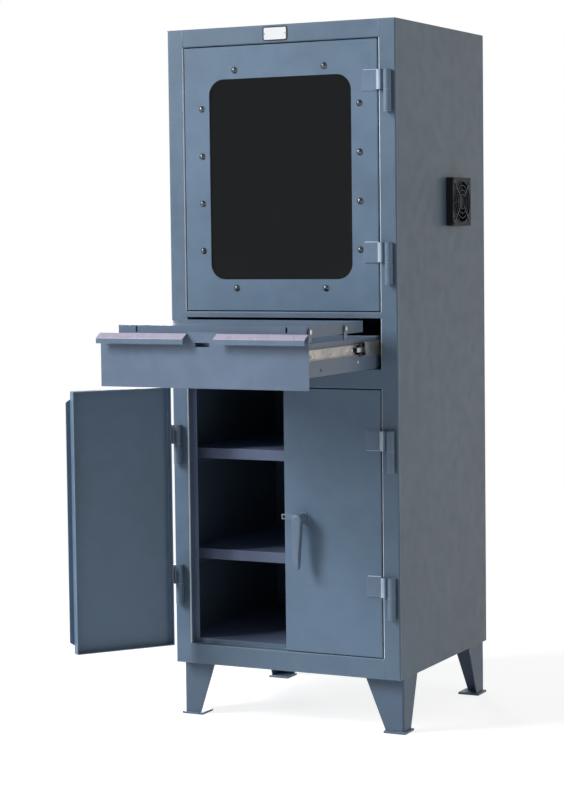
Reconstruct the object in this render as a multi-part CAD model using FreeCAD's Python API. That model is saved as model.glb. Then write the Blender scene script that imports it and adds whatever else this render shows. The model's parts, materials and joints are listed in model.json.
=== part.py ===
import FreeCAD, Part
import math
import os

# Computer armoire: an industrial sheet-steel cabinet on four gusset legs, with a windowed upper
# door, a keyboard drawer with a lift-up tray, two lower doors and a side fan.
# Millimetres. Origin: centre of the leg anchor pattern on the floor. +X right, +Y back, +Z up.
os.makedirs("parts", exist_ok=True)
Vector = FreeCAD.Vector
X_AXIS = Vector(1, 0, 0)
Y_AXIS = Vector(0, 1, 0)
Z_AXIS = Vector(0, 0, 1)

# ---------------------------------------------------------------- driving dimensions
WIDTH = 711.2
DEPTH = 660.4
HEIGHT = 1828.8
LEG_HEIGHT = 158.75
SHEET = 2.66
BEND = 1.5

STILE_WIDTH = 50.8
HEADER_HEIGHT = 51.3
UPPER_RAIL_HEIGHT = 17.6
DRAWER_OPENING = 140.2
LOWER_RAIL_HEIGHT = 56.3
LOWER_OPENING = 753.2
SILL_HEIGHT = 58.3
JAMB_DEPTH = 28.0
STOP_LIP = 12.0
CORNER_RETURN = 12.0

LEG_INSET_X = 6.6
LEG_INSET_FRONT = 36.0
LEG_INSET_REAR = 7.0
LEG_SHEET = 3.4
WIDE_FLANGE_TOP = 118.0
WIDE_FLANGE_FOOT = 56.0
NARROW_FLANGE_TOP = 102.0
NARROW_FLANGE_FOOT = 52.0
LEG_BEND = 4.0
FOOT_SIZE = 66.0
FOOT_THICKNESS = 6.35
FOOT_OVERHANG = 6.0
ANCHOR_HOLE_R = 5.6

DOOR_DEPTH = 25.4
DOOR_GAP = 2.8
CENTRE_GAP = 3.4
DOOR_BEND = 3.0
WINDOW_WIDTH = 444.0
WINDOW_HEIGHT = 567.0
WINDOW_DROP = 2.0
WINDOW_CORNER = 45.0
WINDOW_BOLT_MARGIN = 24.5
WINDOW_BOLT_PITCH = 134.4
WINDOW_BOLT_SPREAD = 280.0
PANE_MARGIN = 42.0
PANE_THICKNESS = 6.35
BOLT_R = 4.0
BOLT_HEAD_R = 9.5
BOLT_HEAD_HEIGHT = 6.0
NUT_R = 7.0
NUT_HEIGHT = 6.0
SHANK_PROUD = 2.0
LEFT_DOOR_OPEN = 127.0
ASTRAGAL_LAP = 12.0
ASTRAGAL_WELD = 24.0
ASTRAGAL_SHORT = 24.0
ASTRAGAL_LIFT = 0.6
ASTRAGAL_CLIP = 8.0

HINGE_INSET = 19.6
HINGE_STANDOFF = 0.5
BARREL_R = 11.0
BARREL_LENGTH = 60.0
PIN_R = 6.0
PIN_PRESS = 0.02
PIN_RUNNING = 0.08
LEAF_THICKNESS = 5.0
LEAF_LENGTH = 55.0
LEAF_BOLT_GAP = 2.0
BARREL_FLOOR = 5.0
THRUST_GAP = 0.3
PIN_SHORT = 1.0
WELD_PAD = 10.0
WELD_PAD_WALL = 2.0
UPPER_HINGES = (1162.5, 1634.5)
LOWER_HINGES = (233.5, 641.5)

HANDLE_X = 64.0
HANDLE_Z = 443.5
HANDLE_STEM_R = 10.0
HANDLE_STANDOFF = 29.0
LEVER_THICKNESS = 20.0
LEVER_TOP_R = 14.0
LEVER_END_R = 11.0
LEVER_LENGTH = 133.0
LUG_WIDTH = 16.0
LUG_THICKNESS = 6.0
LUG_REACH = 49.5
LUG_HOLE_R = 4.5
LUG_HOLE_FROM_END = 9.0
LUG_SETBACK = 2.0
ESCUTCHEON_R = 17.0
ESCUTCHEON_HEIGHT = 4.0
STEM_CLEARANCE = 0.08
CAM_R = 22.0
CAM_THICKNESS = 4.0
CAM_GAP = 5.0
CRANK_PIN_R = 4.0
CRANK_PIN_PROUD = 2.5
ROD_STROKE = 20.0
ROD_R = 5.0
ROD_OFFSET = 14.0
ROD_CLEARANCE = 0.3
KEEPER_HOLE_R = 7.0
ROD_FOOT_THICKNESS = 3.0
ROD_FOOT_HEIGHT = 20.0
ROD_FOOT_TRAVEL = 6.0
ROD_FOOT_GAP = 0.5
ROD_FOOT_WALL = 1.0
ROD_FOOT_PLAY = 0.5
ROD_FOOT_SLACK = 0.8
ROD_LEAD = 4.0
GUIDE_WIDTH = 26.0
GUIDE_HEIGHT = 14.0
GUIDE_FROM_EDGE = 60.0

SHELF_TOPS = (324.0, 621.0)
SHELF_LIP = 30.0
SHELF_FRONT = 62.0
SHELF_BACK = 30.0
SHELF_CLEARANCE = 2.0
CLEAT_WIDTH = 22.0
CLEAT_LENGTH = 420.0

DRAWER_TRAVEL = 467.0
FRONT_GAP = 1.0
FRONT_OVERLAY = 5.7
FRONT_BOTTOM = 840.0
FRONT_TOP = 988.0
LIP_REACH = 28.0
LIP_FALL = 16.0
LIP_DROP = 15.0
LIP_NOTCH = 90.0
FRONT_SLOT_WIDTH = 44.0
FRONT_SLOT_HEIGHT = 11.0
FRONT_SLOT_Z = 955.0
BOX_SHEET = 1.52
BOX_LENGTH = 500.0
BOX_BOTTOM = 870.0
BOX_TOP = 958.0
SLIDE_THICKNESS = 12.7
SLIDE_SIDE_GAP = 2.8
SLIDE_HEIGHT = 48.0
SLIDE_CENTRE = 928.5
SLIDE_SHEET = 1.2
BALL_RACE = 3.6
SLIDE_PLAY = 0.5
SLIDE_WEB_PLAY = 1.3
OUTER_MEMBER_FRONT = 10.0
OUTER_MEMBER_LENGTH = 590.0
MIDDLE_MEMBER_FRONT = 100.0
MIDDLE_MEMBER_LENGTH = 450.0
INNER_MEMBER_FRONT = 6.0
INNER_MEMBER_LENGTH = 450.0
BRACKET_HEIGHT = 46.0

TRAY_HALF_WIDTH = 280.5
TRAY_LENGTH = 360.0
TRAY_FRONT = 43.0
TRAY_TOP = 1004.0
TRAY_SHEET = 1.9
TRAY_FLANGE = 31.0
TRAY_SLOT_X = 225.0
TRAY_SLOT_WIDTH = 5.0
TRAY_SLOT_HEIGHT = 15.0
TRAY_SLOT_DROP = 3.0
LINK_FRONT = 20.0
LINK_SPACING = 220.0
LINK_LENGTH = 58.0
LINK_TOP_DROP = 16.0
LINK_HALF_WIDTH = 10.0
LINK_THICKNESS = 2.5
LINK_GAP = 0.4
STUD_R = 4.0
STUD_HEAD_R = 6.5
STUD_HEAD_HEIGHT = 2.5
STUD_RUNNING = 0.08
OPEN_PIVOT_CLEARANCE = 0.35

FAN_FROM_BACK = 229.7
FAN_Z = 1331.0
FAN_SIZE = 140.0
FAN_DEPTH = 21.0
FAN_BORE_R = 62.0
FAN_CORNER = 6.0
FAN_SCREW_SPREAD = 116.0
FAN_SCREW_R = 2.3
FAN_HUB_R = 21.0
FAN_HUB_LENGTH = 14.0
FAN_HUB_FACE = 1.5
FAN_HUB_GAP = 1.0
FAN_MOTOR_THICKNESS = 4.0
FAN_SPINDLE_R = 3.0
FAN_STRUT_WIDTH = 7.0
FAN_BLADES = 7
FAN_BLADE_TIP_R = 59.5
FAN_BLADE_SINK = 2.0
FAN_BLADE_PITCHES = (50.0, 35.0, 25.0)
FAN_BLADE_CHORD = 26.0
FAN_BLADE_THICKNESS = 1.6
FAN_BLADE_MARGIN = 1.0
GUARD_WIRE = 2.0
GUARD_RINGS = (21.0, 34.0, 47.0, 60.0)

# ---------------------------------------------------------------- derived places
HALF_WIDTH = WIDTH / 2
BODY_CENTRE = (LEG_INSET_REAR - LEG_INSET_FRONT) / 2
FRONT = BODY_CENTRE - DEPTH / 2
BACK = BODY_CENTRE + DEPTH / 2
BASE = LEG_HEIGHT
TOP = BASE + HEIGHT
INNER_HALF = HALF_WIDTH - SHEET
OPENING_HALF = HALF_WIDTH - STILE_WIDTH
JAMB_BACK = FRONT + JAMB_DEPTH

LOWER_OPEN_BOTTOM = BASE + SILL_HEIGHT
LOWER_OPEN_TOP = LOWER_OPEN_BOTTOM + LOWER_OPENING
DRAWER_OPEN_BOTTOM = LOWER_OPEN_TOP + LOWER_RAIL_HEIGHT
DRAWER_OPEN_TOP = DRAWER_OPEN_BOTTOM + DRAWER_OPENING
UPPER_OPEN_BOTTOM = DRAWER_OPEN_TOP + UPPER_RAIL_HEIGHT
UPPER_OPEN_TOP = TOP - HEADER_HEIGHT
FLOOR_TOP = LOWER_OPEN_BOTTOM + STOP_LIP
LOWER_DECK_BOTTOM = LOWER_OPEN_TOP - STOP_LIP
UPPER_DECK_TOP = UPPER_OPEN_BOTTOM + STOP_LIP

HINGE_X = HALF_WIDTH - HINGE_INSET
HINGE_Y = FRONT - HINGE_STANDOFF - BARREL_R
LEAF_REACH = HINGE_X - WINDOW_WIDTH / 2 - WINDOW_BOLT_MARGIN - BOLT_HEAD_R - LEAF_BOLT_GAP
CRANK_SIDE = ROD_STROKE / 2

DRAWER_BACK_FACE = FRONT - FRONT_GAP - DRAWER_TRAVEL
BOX_HALF = OPENING_HALF - SLIDE_SIDE_GAP - SLIDE_THICKNESS
TRAY_FRONT_Y = DRAWER_BACK_FACE + TRAY_FRONT
FAN_Y = BACK - FAN_FROM_BACK
CUT = 1.0


# ---------------------------------------------------------------- small builders
def block(x0, x1, y0, y1, z0, z1):
    return Part.makeBox(x1 - x0, y1 - y0, z1 - z0, Vector(x0, y0, z0))


def rod(start, axis, radius, length):
    return Part.makeCylinder(radius, length, start, axis)


def mirrored(shape):
    return shape.mirror(Vector(0, 0, 0), X_AXIS)


def prism(points, place, axis, length):
    """Extrude a closed outline. place turns a pair of numbers into a point in space."""
    corners = [place(a, b) for a, b in points]
    wire = Part.makePolygon(corners + corners[:1])
    return Part.Face(wire).extrude(axis * length)


def offset_path(path, thickness):
    """The other face of a sheet whose first face follows path, on the left of the travel."""
    directions = []
    for (x0, y0), (x1, y1) in zip(path, path[1:]):
        size = math.hypot(x1 - x0, y1 - y0)
        directions.append(((x1 - x0) / size, (y1 - y0) / size))
    result = []
    for index, (x, y) in enumerate(path):
        before = directions[max(index - 1, 0)]
        after = directions[min(index, len(directions) - 1)]
        scale = thickness / (1 + before[0] * after[0] + before[1] * after[1])
        result.append((x - (before[1] + after[1]) * scale, y + (before[0] + after[0]) * scale))
    return result


def round_line(shape, point, axis, radius):
    """Fillet the straight edge along axis that passes through point."""
    chosen = []
    for edge in shape.Edges:
        if len(edge.Vertexes) != 2:
            continue
        along = edge.Vertexes[1].Point - edge.Vertexes[0].Point
        if along.Length < 1e-6 or abs(along.normalize().dot(axis)) < 0.999:
            continue
        away = edge.Vertexes[0].Point - point
        if (away - axis * away.dot(axis)).Length < 0.01:
            chosen.append(edge)
    return shape.makeFillet(radius, chosen)


def folded_sheet(path, thickness, bend, place, axis, length):
    """A bent sheet: path is one face of its profile, and each corner gets its bend radii."""
    other = offset_path(path, thickness)
    solid = prism(path + other[::-1], place, axis, length)
    for index in range(1, len(path) - 1):
        (ax, ay), (bx, by), (cx, cy) = path[index - 1:index + 2]
        turn_left = (bx - ax) * (cy - by) - (by - ay) * (cx - bx) > 0
        outer, inner = (path[index], other[index]) if turn_left else (other[index], path[index])
        solid = round_line(solid, place(*outer), axis, bend + thickness)
        solid = round_line(solid, place(*inner), axis, bend)
    return solid


def at_height(z):
    return lambda x, y: Vector(x, y, z)


def at_side(x):
    return lambda y, z: Vector(x, y, z)


def rounded_rectangle(width, height, corner, thickness, centre):
    """A plate in the XZ plane, its front face at centre, going back along +Y."""
    solid = block(-width / 2, width / 2, 0, thickness, -height / 2, height / 2)
    solid.translate(centre)
    for side in (-1, 1):
        for level in (-1, 1):
            edge_point = centre + Vector(side * width / 2, 0, level * height / 2)
            solid = round_line(solid, edge_point, Y_AXIS, corner)
    return solid


def pan(x0, x1, y0, y1, z0, z1, sheet, bend):
    """A door pan: a flat face at y0 with four flanges going back to y1."""
    outer = block(x0, x1, y0, y1, z0, z1)
    for x in (x0, x1):
        outer = round_line(outer, Vector(x, y0, z0), Z_AXIS, bend)
    inner = block(x0 + sheet, x1 - sheet, y0 + sheet, y1 + CUT, z0 + sheet, z1 - sheet)
    return outer.cut(inner)


def swing_left_door(shape):
    """Turn a piece of the left door from closed to the open place it is modelled in."""
    turned = shape.copy()
    turned.rotate(Vector(-HINGE_X, HINGE_Y, 0), Z_AXIS, -LEFT_DOOR_OPEN)
    return turned


def export(name, *solids):
    shape = solids[0] if len(solids) == 1 else Part.makeCompound(list(solids))
    if not shape.isValid():
        raise ValueError(name + " is not a valid shape")
    shape.exportStep("parts/" + name + ".step")


# ---------------------------------------------------------------- cabinet shell
def make_shell():
    """Top, bottom, back and side sheets. The right side has the fan's air hole."""
    under_top = TOP - SHEET
    over_bottom = BASE + SHEET
    export("top_panel", block(-HALF_WIDTH, HALF_WIDTH, FRONT, BACK, under_top, TOP))
    export("bottom_panel", block(-HALF_WIDTH, HALF_WIDTH, FRONT, BACK, BASE, over_bottom))
    export("back_panel", block(-INNER_HALF, INNER_HALF, BACK - SHEET, BACK, over_bottom, under_top))
    side = block(INNER_HALF, HALF_WIDTH, FRONT + CORNER_RETURN, BACK, over_bottom, under_top)
    export("side_panel_left", mirrored(side))
    air_hole = rod(Vector(INNER_HALF - CUT, FAN_Y, BASE + FAN_Z), X_AXIS, FAN_BORE_R, SHEET + 2 * CUT)
    export("side_panel_right", side.cut(air_hole))


def make_front_frame():
    """Two stiles with a bent corner and jamb, and four cross rails bent to Z profiles."""
    path = [
        (OPENING_HALF, JAMB_BACK),
        (OPENING_HALF, FRONT),
        (HALF_WIDTH, FRONT),
        (HALF_WIDTH, FRONT + CORNER_RETURN),
    ]
    height = HEIGHT - 2 * SHEET
    stile = folded_sheet(path, SHEET, BEND, at_height(BASE + SHEET), Z_AXIS, height)
    export("stile_right", stile)
    export("stile_left", mirrored(stile))

    span = 2 * OPENING_HALF
    place = at_side(-OPENING_HALF)
    header = [
        (FRONT, TOP - SHEET),
        (FRONT, UPPER_OPEN_TOP),
        (JAMB_BACK, UPPER_OPEN_TOP),
        (JAMB_BACK, UPPER_OPEN_TOP - STOP_LIP),
    ]
    export("header_rail", folded_sheet(header, SHEET, BEND, place, X_AXIS, span))
    upper = [
        (JAMB_BACK, UPPER_DECK_TOP),
        (JAMB_BACK, UPPER_OPEN_BOTTOM),
        (FRONT, UPPER_OPEN_BOTTOM),
        (FRONT, DRAWER_OPEN_TOP),
    ]
    export("upper_rail", folded_sheet(upper, SHEET, BEND, place, X_AXIS, span))
    lower = [
        (JAMB_BACK, DRAWER_OPEN_BOTTOM),
        (FRONT, DRAWER_OPEN_BOTTOM),
        (FRONT, LOWER_OPEN_TOP),
        (JAMB_BACK, LOWER_OPEN_TOP),
        (JAMB_BACK, LOWER_DECK_BOTTOM),
    ]
    rail = folded_sheet(lower, SHEET, BEND, place, X_AXIS, span)
    export("lower_rail", rail.cut(keeper_hole(1, LOWER_OPEN_TOP)))
    sill = [
        (JAMB_BACK, FLOOR_TOP),
        (JAMB_BACK, LOWER_OPEN_BOTTOM),
        (FRONT, LOWER_OPEN_BOTTOM),
        (FRONT, BASE + SHEET),
    ]
    rail = folded_sheet(sill, SHEET, BEND, place, X_AXIS, span)
    export("sill_rail", rail.cut(keeper_hole(-1, LOWER_OPEN_BOTTOM)))


def keeper_hole(end, level):
    """The hole that a latch rod enters: end is 1 for the top rod and -1 for the bottom one."""
    start = Vector(rod_x(end), rod_y(), level - 2 * SHEET)
    return rod(start, Z_AXIS, KEEPER_HOLE_R, 4 * SHEET)


def make_door_stops():
    """Flat strips behind the door edges, welded across the back of the stile jambs."""
    inner = OPENING_HALF - STOP_LIP
    outer = OPENING_HALF + SHEET
    strips = []
    for bottom, top in ((FLOOR_TOP, LOWER_DECK_BOTTOM), (UPPER_DECK_TOP, UPPER_OPEN_TOP - STOP_LIP)):
        strip = block(inner, outer, JAMB_BACK, JAMB_BACK + SHEET, bottom, top)
        strips.append(strip)
        strips.append(mirrored(strip))
    export("door_stops", *strips)


def make_decks():
    """The floor of the upper compartment, the ceiling of the lower one and its floor."""
    back = BACK - SHEET
    for name, top in (
        ("upper_deck", UPPER_DECK_TOP),
        ("lower_deck", LOWER_DECK_BOTTOM + SHEET),
        ("cabinet_floor", FLOOR_TOP),
    ):
        export(name, block(-INNER_HALF, INNER_HALF, JAMB_BACK + SHEET, back, top - SHEET, top))


def make_legs():
    """One bent gusset leg, turned a quarter at each corner, on square plates with anchor holes."""
    height = LEG_HEIGHT - FOOT_THICKNESS
    path = [(-WIDE_FLANGE_TOP, 0), (0, 0), (0, NARROW_FLANGE_TOP)]
    angle = folded_sheet(path, LEG_SHEET, LEG_BEND, at_height(FOOT_THICKNESS), Z_AXIS, height)
    sections = []
    for wide, narrow, level in (
        (WIDE_FLANGE_FOOT, NARROW_FLANGE_FOOT, FOOT_THICKNESS),
        (WIDE_FLANGE_TOP, NARROW_FLANGE_TOP, LEG_HEIGHT),
    ):
        corners = [
            Vector(0, 0, level),
            Vector(-wide, 0, level),
            Vector(-wide, narrow, level),
            Vector(0, narrow, level),
        ]
        sections.append(Part.makePolygon(corners + corners[:1]))
    leg = angle.common(Part.makeLoft(sections, True, True))
    foot = block(FOOT_OVERHANG - FOOT_SIZE, FOOT_OVERHANG, -FOOT_OVERHANG, FOOT_SIZE - FOOT_OVERHANG,
                 0, FOOT_THICKNESS)
    middle = FOOT_SIZE / 2 - FOOT_OVERHANG
    foot = foot.cut(rod(Vector(-middle, middle, -CUT), Z_AXIS, ANCHOR_HOLE_R, FOOT_THICKNESS + 2 * CUT))

    leg_x = HALF_WIDTH - LEG_INSET_X
    leg_y = BACK - LEG_INSET_REAR
    feet = []
    for name, turn, side, end in (
        ("leg_front_right", 0, 1, -1),
        ("leg_rear_right", 90, 1, 1),
        ("leg_rear_left", 180, -1, 1),
        ("leg_front_left", 270, -1, -1),
    ):
        place = FreeCAD.Placement(Vector(side * leg_x, end * leg_y, 0), FreeCAD.Rotation(Z_AXIS, turn))
        export(name, leg.transformed(place.toMatrix()))
        feet.append(foot.transformed(place.toMatrix()))
    export("foot_plates", *feet)


def make_shelves():
    """Two lipped shelf pans, each resting on a pair of cleats on the side sheets."""
    half = INNER_HALF - SHELF_CLEARANCE
    front = JAMB_BACK + SHELF_FRONT
    back = BACK - SHEET - SHELF_BACK
    cleats = []
    for name, level in zip(("shelf_lower", "shelf_upper"), SHELF_TOPS):
        top = BASE + level
        shelf = block(-half, half, front, back, top - SHELF_LIP, top)
        hollow = block(-half + SHEET, half - SHEET, front + SHEET, back - SHEET,
                       top - SHELF_LIP - CUT, top - SHEET)
        export(name, shelf.cut(hollow))
        path = [
            (INNER_HALF, top - SHELF_LIP - CLEAT_WIDTH),
            (INNER_HALF, top - SHELF_LIP),
            (INNER_HALF - CLEAT_WIDTH, top - SHELF_LIP),
        ]
        middle = (front + back) / 2
        cleat = folded_sheet(path, SHEET, BEND, lambda x, z: Vector(x, middle - CLEAT_LENGTH / 2, z),
                             Y_AXIS, CLEAT_LENGTH)
        cleats.append(cleat)
        cleats.append(mirrored(cleat))
    export("shelf_cleats", *cleats)


# ---------------------------------------------------------------- hinges and doors
def hinge_leaf(level):
    """A strap welded to the door, bowed out over the gap and rolled round the pin."""
    bottom = level + THRUST_GAP
    top = bottom + LEAF_LENGTH
    door_edge = OPENING_HALF - DOOR_GAP
    bow_x = HINGE_X - 2 * BARREL_R
    bow_left = bow_x - BARREL_R
    clear = FRONT - HINGE_STANDOFF
    bow_start = Vector(bow_x, HINGE_Y, bottom)
    bow = rod(bow_start, Z_AXIS, BARREL_R, LEAF_LENGTH)
    bow = bow.cut(rod(bow_start, Z_AXIS, BARREL_R - LEAF_THICKNESS, LEAF_LENGTH))
    bow = bow.common(block(bow_left, bow_x + BARREL_R, HINGE_Y - BARREL_R, HINGE_Y, bottom, top))
    start = Vector(HINGE_X, HINGE_Y, bottom)
    leaf = rod(start, Z_AXIS, BARREL_R, LEAF_LENGTH).fuse([
        block(HINGE_X - LEAF_REACH, door_edge, FRONT - LEAF_THICKNESS, FRONT, bottom, top),
        block(door_edge, bow_left + LEAF_THICKNESS, FRONT - LEAF_THICKNESS, clear, bottom, top),
        block(bow_left, bow_left + LEAF_THICKNESS, HINGE_Y, clear, bottom, top),
        bow,
        block(bow_x + BARREL_R - LEAF_THICKNESS, HINGE_X, HINGE_Y - LEAF_THICKNESS / 2,
              HINGE_Y + LEAF_THICKNESS / 2, bottom, top),
    ])
    return leaf.removeSplitter().cut(rod(start, Z_AXIS, PIN_R + PIN_RUNNING, LEAF_LENGTH))


def hinge_barrel(level):
    """The plain lower half of a hinge, with its weld pad on the frame face."""
    start = Vector(HINGE_X, HINGE_Y, level - BARREL_LENGTH)
    barrel = rod(start, Z_AXIS, BARREL_R, BARREL_LENGTH)
    pad = block(HINGE_X - WELD_PAD / 2, HINGE_X + WELD_PAD / 2, HINGE_Y + PIN_R + WELD_PAD_WALL, FRONT,
                level - BARREL_LENGTH, level)
    bore = rod(start + Z_AXIS * BARREL_FLOOR, Z_AXIS, PIN_R + PIN_PRESS, BARREL_LENGTH)
    return barrel.fuse(pad).removeSplitter().cut(bore)


def hinge_pin(level):
    start = Vector(HINGE_X, HINGE_Y, level - BARREL_LENGTH + BARREL_FLOOR)
    top = level + THRUST_GAP + LEAF_LENGTH - PIN_SHORT
    return rod(start, Z_AXIS, PIN_R, top - start.z)


def make_hinges():
    """Lift-off hinges: leaves ride with the doors, barrels and pins stay on the frame."""
    upper = [BASE + z for z in UPPER_HINGES]
    lower = [BASE + z for z in LOWER_HINGES]
    export("upper_hinge_leaves", *[hinge_leaf(z) for z in upper])
    export("upper_hinge_barrels", *[hinge_barrel(z) for z in upper])
    export("right_hinge_leaves", *[hinge_leaf(z) for z in lower])
    export("right_hinge_barrels", *[hinge_barrel(z) for z in lower])
    export("left_hinge_leaves", *[swing_left_door(mirrored(hinge_leaf(z))) for z in lower])
    export("left_hinge_barrels", *[mirrored(hinge_barrel(z)) for z in lower])
    right_pins = [hinge_pin(z) for z in upper + lower]
    left_pins = [mirrored(hinge_pin(z)) for z in lower]
    export("hinge_pins", *(right_pins + left_pins))


def window_bolt_places():
    side_x = WINDOW_WIDTH / 2 + WINDOW_BOLT_MARGIN
    end_z = WINDOW_HEIGHT / 2 + WINDOW_BOLT_MARGIN
    places = []
    for side in (-1, 1):
        for step in (-1.5, -0.5, 0.5, 1.5):
            places.append((side * side_x, step * WINDOW_BOLT_PITCH))
        for end in (-1, 1):
            places.append((side * WINDOW_BOLT_SPREAD / 2, end * end_z))
    return places


def make_upper_door():
    """A pan door with a round-cornered window, its clear pane and twelve dome-head bolts."""
    half = OPENING_HALF - DOOR_GAP
    bottom = UPPER_OPEN_BOTTOM + DOOR_GAP
    top = UPPER_OPEN_TOP - DOOR_GAP
    middle = (bottom + top) / 2 - WINDOW_DROP
    door = pan(-half, half, FRONT, FRONT + DOOR_DEPTH, bottom, top, SHEET, DOOR_BEND)
    cut_out = rounded_rectangle(WINDOW_WIDTH, WINDOW_HEIGHT, WINDOW_CORNER, SHEET + 2 * CUT,
                                Vector(0, FRONT - CUT, middle))
    door = door.cut(cut_out)
    pane_back = FRONT + SHEET + PANE_THICKNESS
    pane = rounded_rectangle(WINDOW_WIDTH + 2 * PANE_MARGIN, WINDOW_HEIGHT + 2 * PANE_MARGIN, SHEET,
                             PANE_THICKNESS, Vector(0, FRONT + SHEET, middle))
    sphere_r = (BOLT_HEAD_R ** 2 + BOLT_HEAD_HEIGHT ** 2) / (2 * BOLT_HEAD_HEIGHT)
    bolts = []
    for x, z in window_bolt_places():
        centre = Vector(x, FRONT, middle + z)
        hole = rod(centre - Y_AXIS * CUT, Y_AXIS, BOLT_R, SHEET + PANE_THICKNESS + 2 * CUT)
        door = door.cut(hole)
        pane = pane.cut(hole)
        ball = Part.makeSphere(sphere_r, centre + Y_AXIS * (sphere_r - BOLT_HEAD_HEIGHT))
        head = ball.common(rod(centre, -Y_AXIS, BOLT_HEAD_R + CUT, BOLT_HEAD_HEIGHT + CUT))
        shank = rod(centre, Y_AXIS, BOLT_R, SHEET + PANE_THICKNESS + NUT_HEIGHT + SHANK_PROUD)
        nut = hex_nut(Vector(x, pane_back, middle + z), NUT_R, NUT_HEIGHT)
        bolts.append(head.fuse([shank, nut]))
    export("upper_door_panel", door)
    export("window_pane", pane)
    export("window_bolts", *bolts)


def hex_nut(start, radius, height):
    corners = []
    for step in range(6):
        angle = math.radians(60 * step)
        corners.append((radius * math.cos(angle), radius * math.sin(angle)))
    return prism(corners, lambda a, b: start + Vector(a, 0, b), Y_AXIS, height)


def rod_x(end):
    return HANDLE_X + end * ROD_OFFSET


def rod_y():
    """Rods run midway between the door sheet and the back edge of the pan."""
    return FRONT + (SHEET + DOOR_DEPTH) / 2


def lower_door(door_sheet_holes):
    """The right-hand lower door pan. The left one is its mirror image without the holes."""
    bottom = LOWER_OPEN_BOTTOM + DOOR_GAP
    top = LOWER_OPEN_TOP - DOOR_GAP
    door = pan(CENTRE_GAP / 2, OPENING_HALF - DOOR_GAP, FRONT, FRONT + DOOR_DEPTH, bottom, top,
               SHEET, DOOR_BEND)
    for hole in door_sheet_holes:
        door = door.cut(hole)
    return door


def make_lower_doors():
    bottom = LOWER_OPEN_BOTTOM + DOOR_GAP
    top = LOWER_OPEN_TOP - DOOR_GAP
    stem_hole = rod(Vector(HANDLE_X, FRONT - CUT, BASE + HANDLE_Z), Y_AXIS,
                    HANDLE_STEM_R + STEM_CLEARANCE, SHEET + 2 * CUT)
    rod_holes = []
    for end, level in ((1, top), (-1, bottom)):
        start = Vector(rod_x(end), rod_y(), level - 2 * SHEET)
        rod_holes.append(rod(start, Z_AXIS, ROD_R + ROD_CLEARANCE, 4 * SHEET))
    export("right_door_panel", lower_door([stem_hole] + rod_holes))
    export("left_door_panel", swing_left_door(mirrored(lower_door([]))))

    low = bottom + ASTRAGAL_SHORT
    high = top - ASTRAGAL_SHORT
    edge = -CENTRE_GAP / 2
    weld = block(edge - ASTRAGAL_WELD, edge, FRONT - SHEET, FRONT, low, high)
    lap = prism(
        [
            (edge, low),
            (edge + ASTRAGAL_LAP, low + ASTRAGAL_CLIP),
            (edge + ASTRAGAL_LAP, high - ASTRAGAL_CLIP),
            (edge, high),
        ],
        lambda x, z: Vector(x, FRONT - SHEET - ASTRAGAL_LIFT, z), Y_AXIS, SHEET)
    export("astragal", swing_left_door(weld.fuse(lap).removeSplitter()))


# ---------------------------------------------------------------- latch of the right door
def make_handle():
    """A cast lever with a padlock lug, turning in a boss, and the cam behind the door sheet."""
    axis_point = Vector(HANDLE_X, 0, BASE + HANDLE_Z)
    lever_back = FRONT - HANDLE_STANDOFF
    lever_front = lever_back - LEVER_THICKNESS
    ring = rod(axis_point + Y_AXIS * FRONT, -Y_AXIS, ESCUTCHEON_R, ESCUTCHEON_HEIGHT)
    ring = ring.cut(rod(axis_point + Y_AXIS * (FRONT + CUT), -Y_AXIS,
                        HANDLE_STEM_R + STEM_CLEARANCE, ESCUTCHEON_HEIGHT + 2 * CUT))
    export("handle_escutcheon", ring)

    cam_front = FRONT + SHEET + CAM_GAP
    stem_length = cam_front - lever_back
    stem = rod(axis_point + Y_AXIS * lever_back, Y_AXIS, HANDLE_STEM_R, stem_length)
    hub = rod(axis_point + Y_AXIS * lever_front, Y_AXIS, LEVER_TOP_R, LEVER_THICKNESS)
    low_point = axis_point - Z_AXIS * LEVER_LENGTH
    tip = rod(low_point + Y_AXIS * lever_front, Y_AXIS, LEVER_END_R, LEVER_THICKNESS)
    slant = math.asin((LEVER_TOP_R - LEVER_END_R) / LEVER_LENGTH)
    outline = []
    for side, radius, drop in (
        (1, LEVER_TOP_R, 0),
        (1, LEVER_END_R, LEVER_LENGTH),
        (-1, LEVER_END_R, LEVER_LENGTH),
        (-1, LEVER_TOP_R, 0),
    ):
        outline.append((side * radius * math.cos(slant), -drop - radius * math.sin(slant)))
    arm = prism(outline, lambda x, z: axis_point + Vector(x, lever_front, z), Y_AXIS, LEVER_THICKNESS)
    lug_front = lever_front + LUG_SETBACK
    lug = block(-LUG_REACH, 0, lug_front, lug_front + LUG_THICKNESS,
                LEVER_TOP_R - LUG_WIDTH, LEVER_TOP_R)
    lug.translate(axis_point)
    lug_centre = Vector(LUG_HOLE_FROM_END - LUG_REACH, lever_front, LEVER_TOP_R - LUG_WIDTH / 2)
    lug_hole = rod(axis_point + lug_centre, Y_AXIS, LUG_HOLE_R, LEVER_THICKNESS)
    lever = hub.fuse([tip, arm, lug, stem]).removeSplitter().cut(lug_hole)
    export("handle_lever", lever)

    cam = rod(axis_point + Y_AXIS * cam_front, Y_AXIS, CAM_R, CAM_THICKNESS)
    pin_length = CAM_THICKNESS + ROD_FOOT_GAP + ROD_FOOT_THICKNESS + CRANK_PIN_PROUD
    pins = []
    for end in (1, -1):
        start = crank_pin_place(end) + Y_AXIS * cam_front
        pins.append(rod(start, Y_AXIS, CRANK_PIN_R, pin_length))
    export("handle_cam", cam.fuse(pins).removeSplitter())


def crank_pin_place(end):
    """The cam pins stand 45 degrees short of level, so a quarter turn lifts each by the stroke."""
    return Vector(HANDLE_X + end * CRANK_SIDE, 0, BASE + HANDLE_Z - end * CRANK_SIDE)


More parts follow.
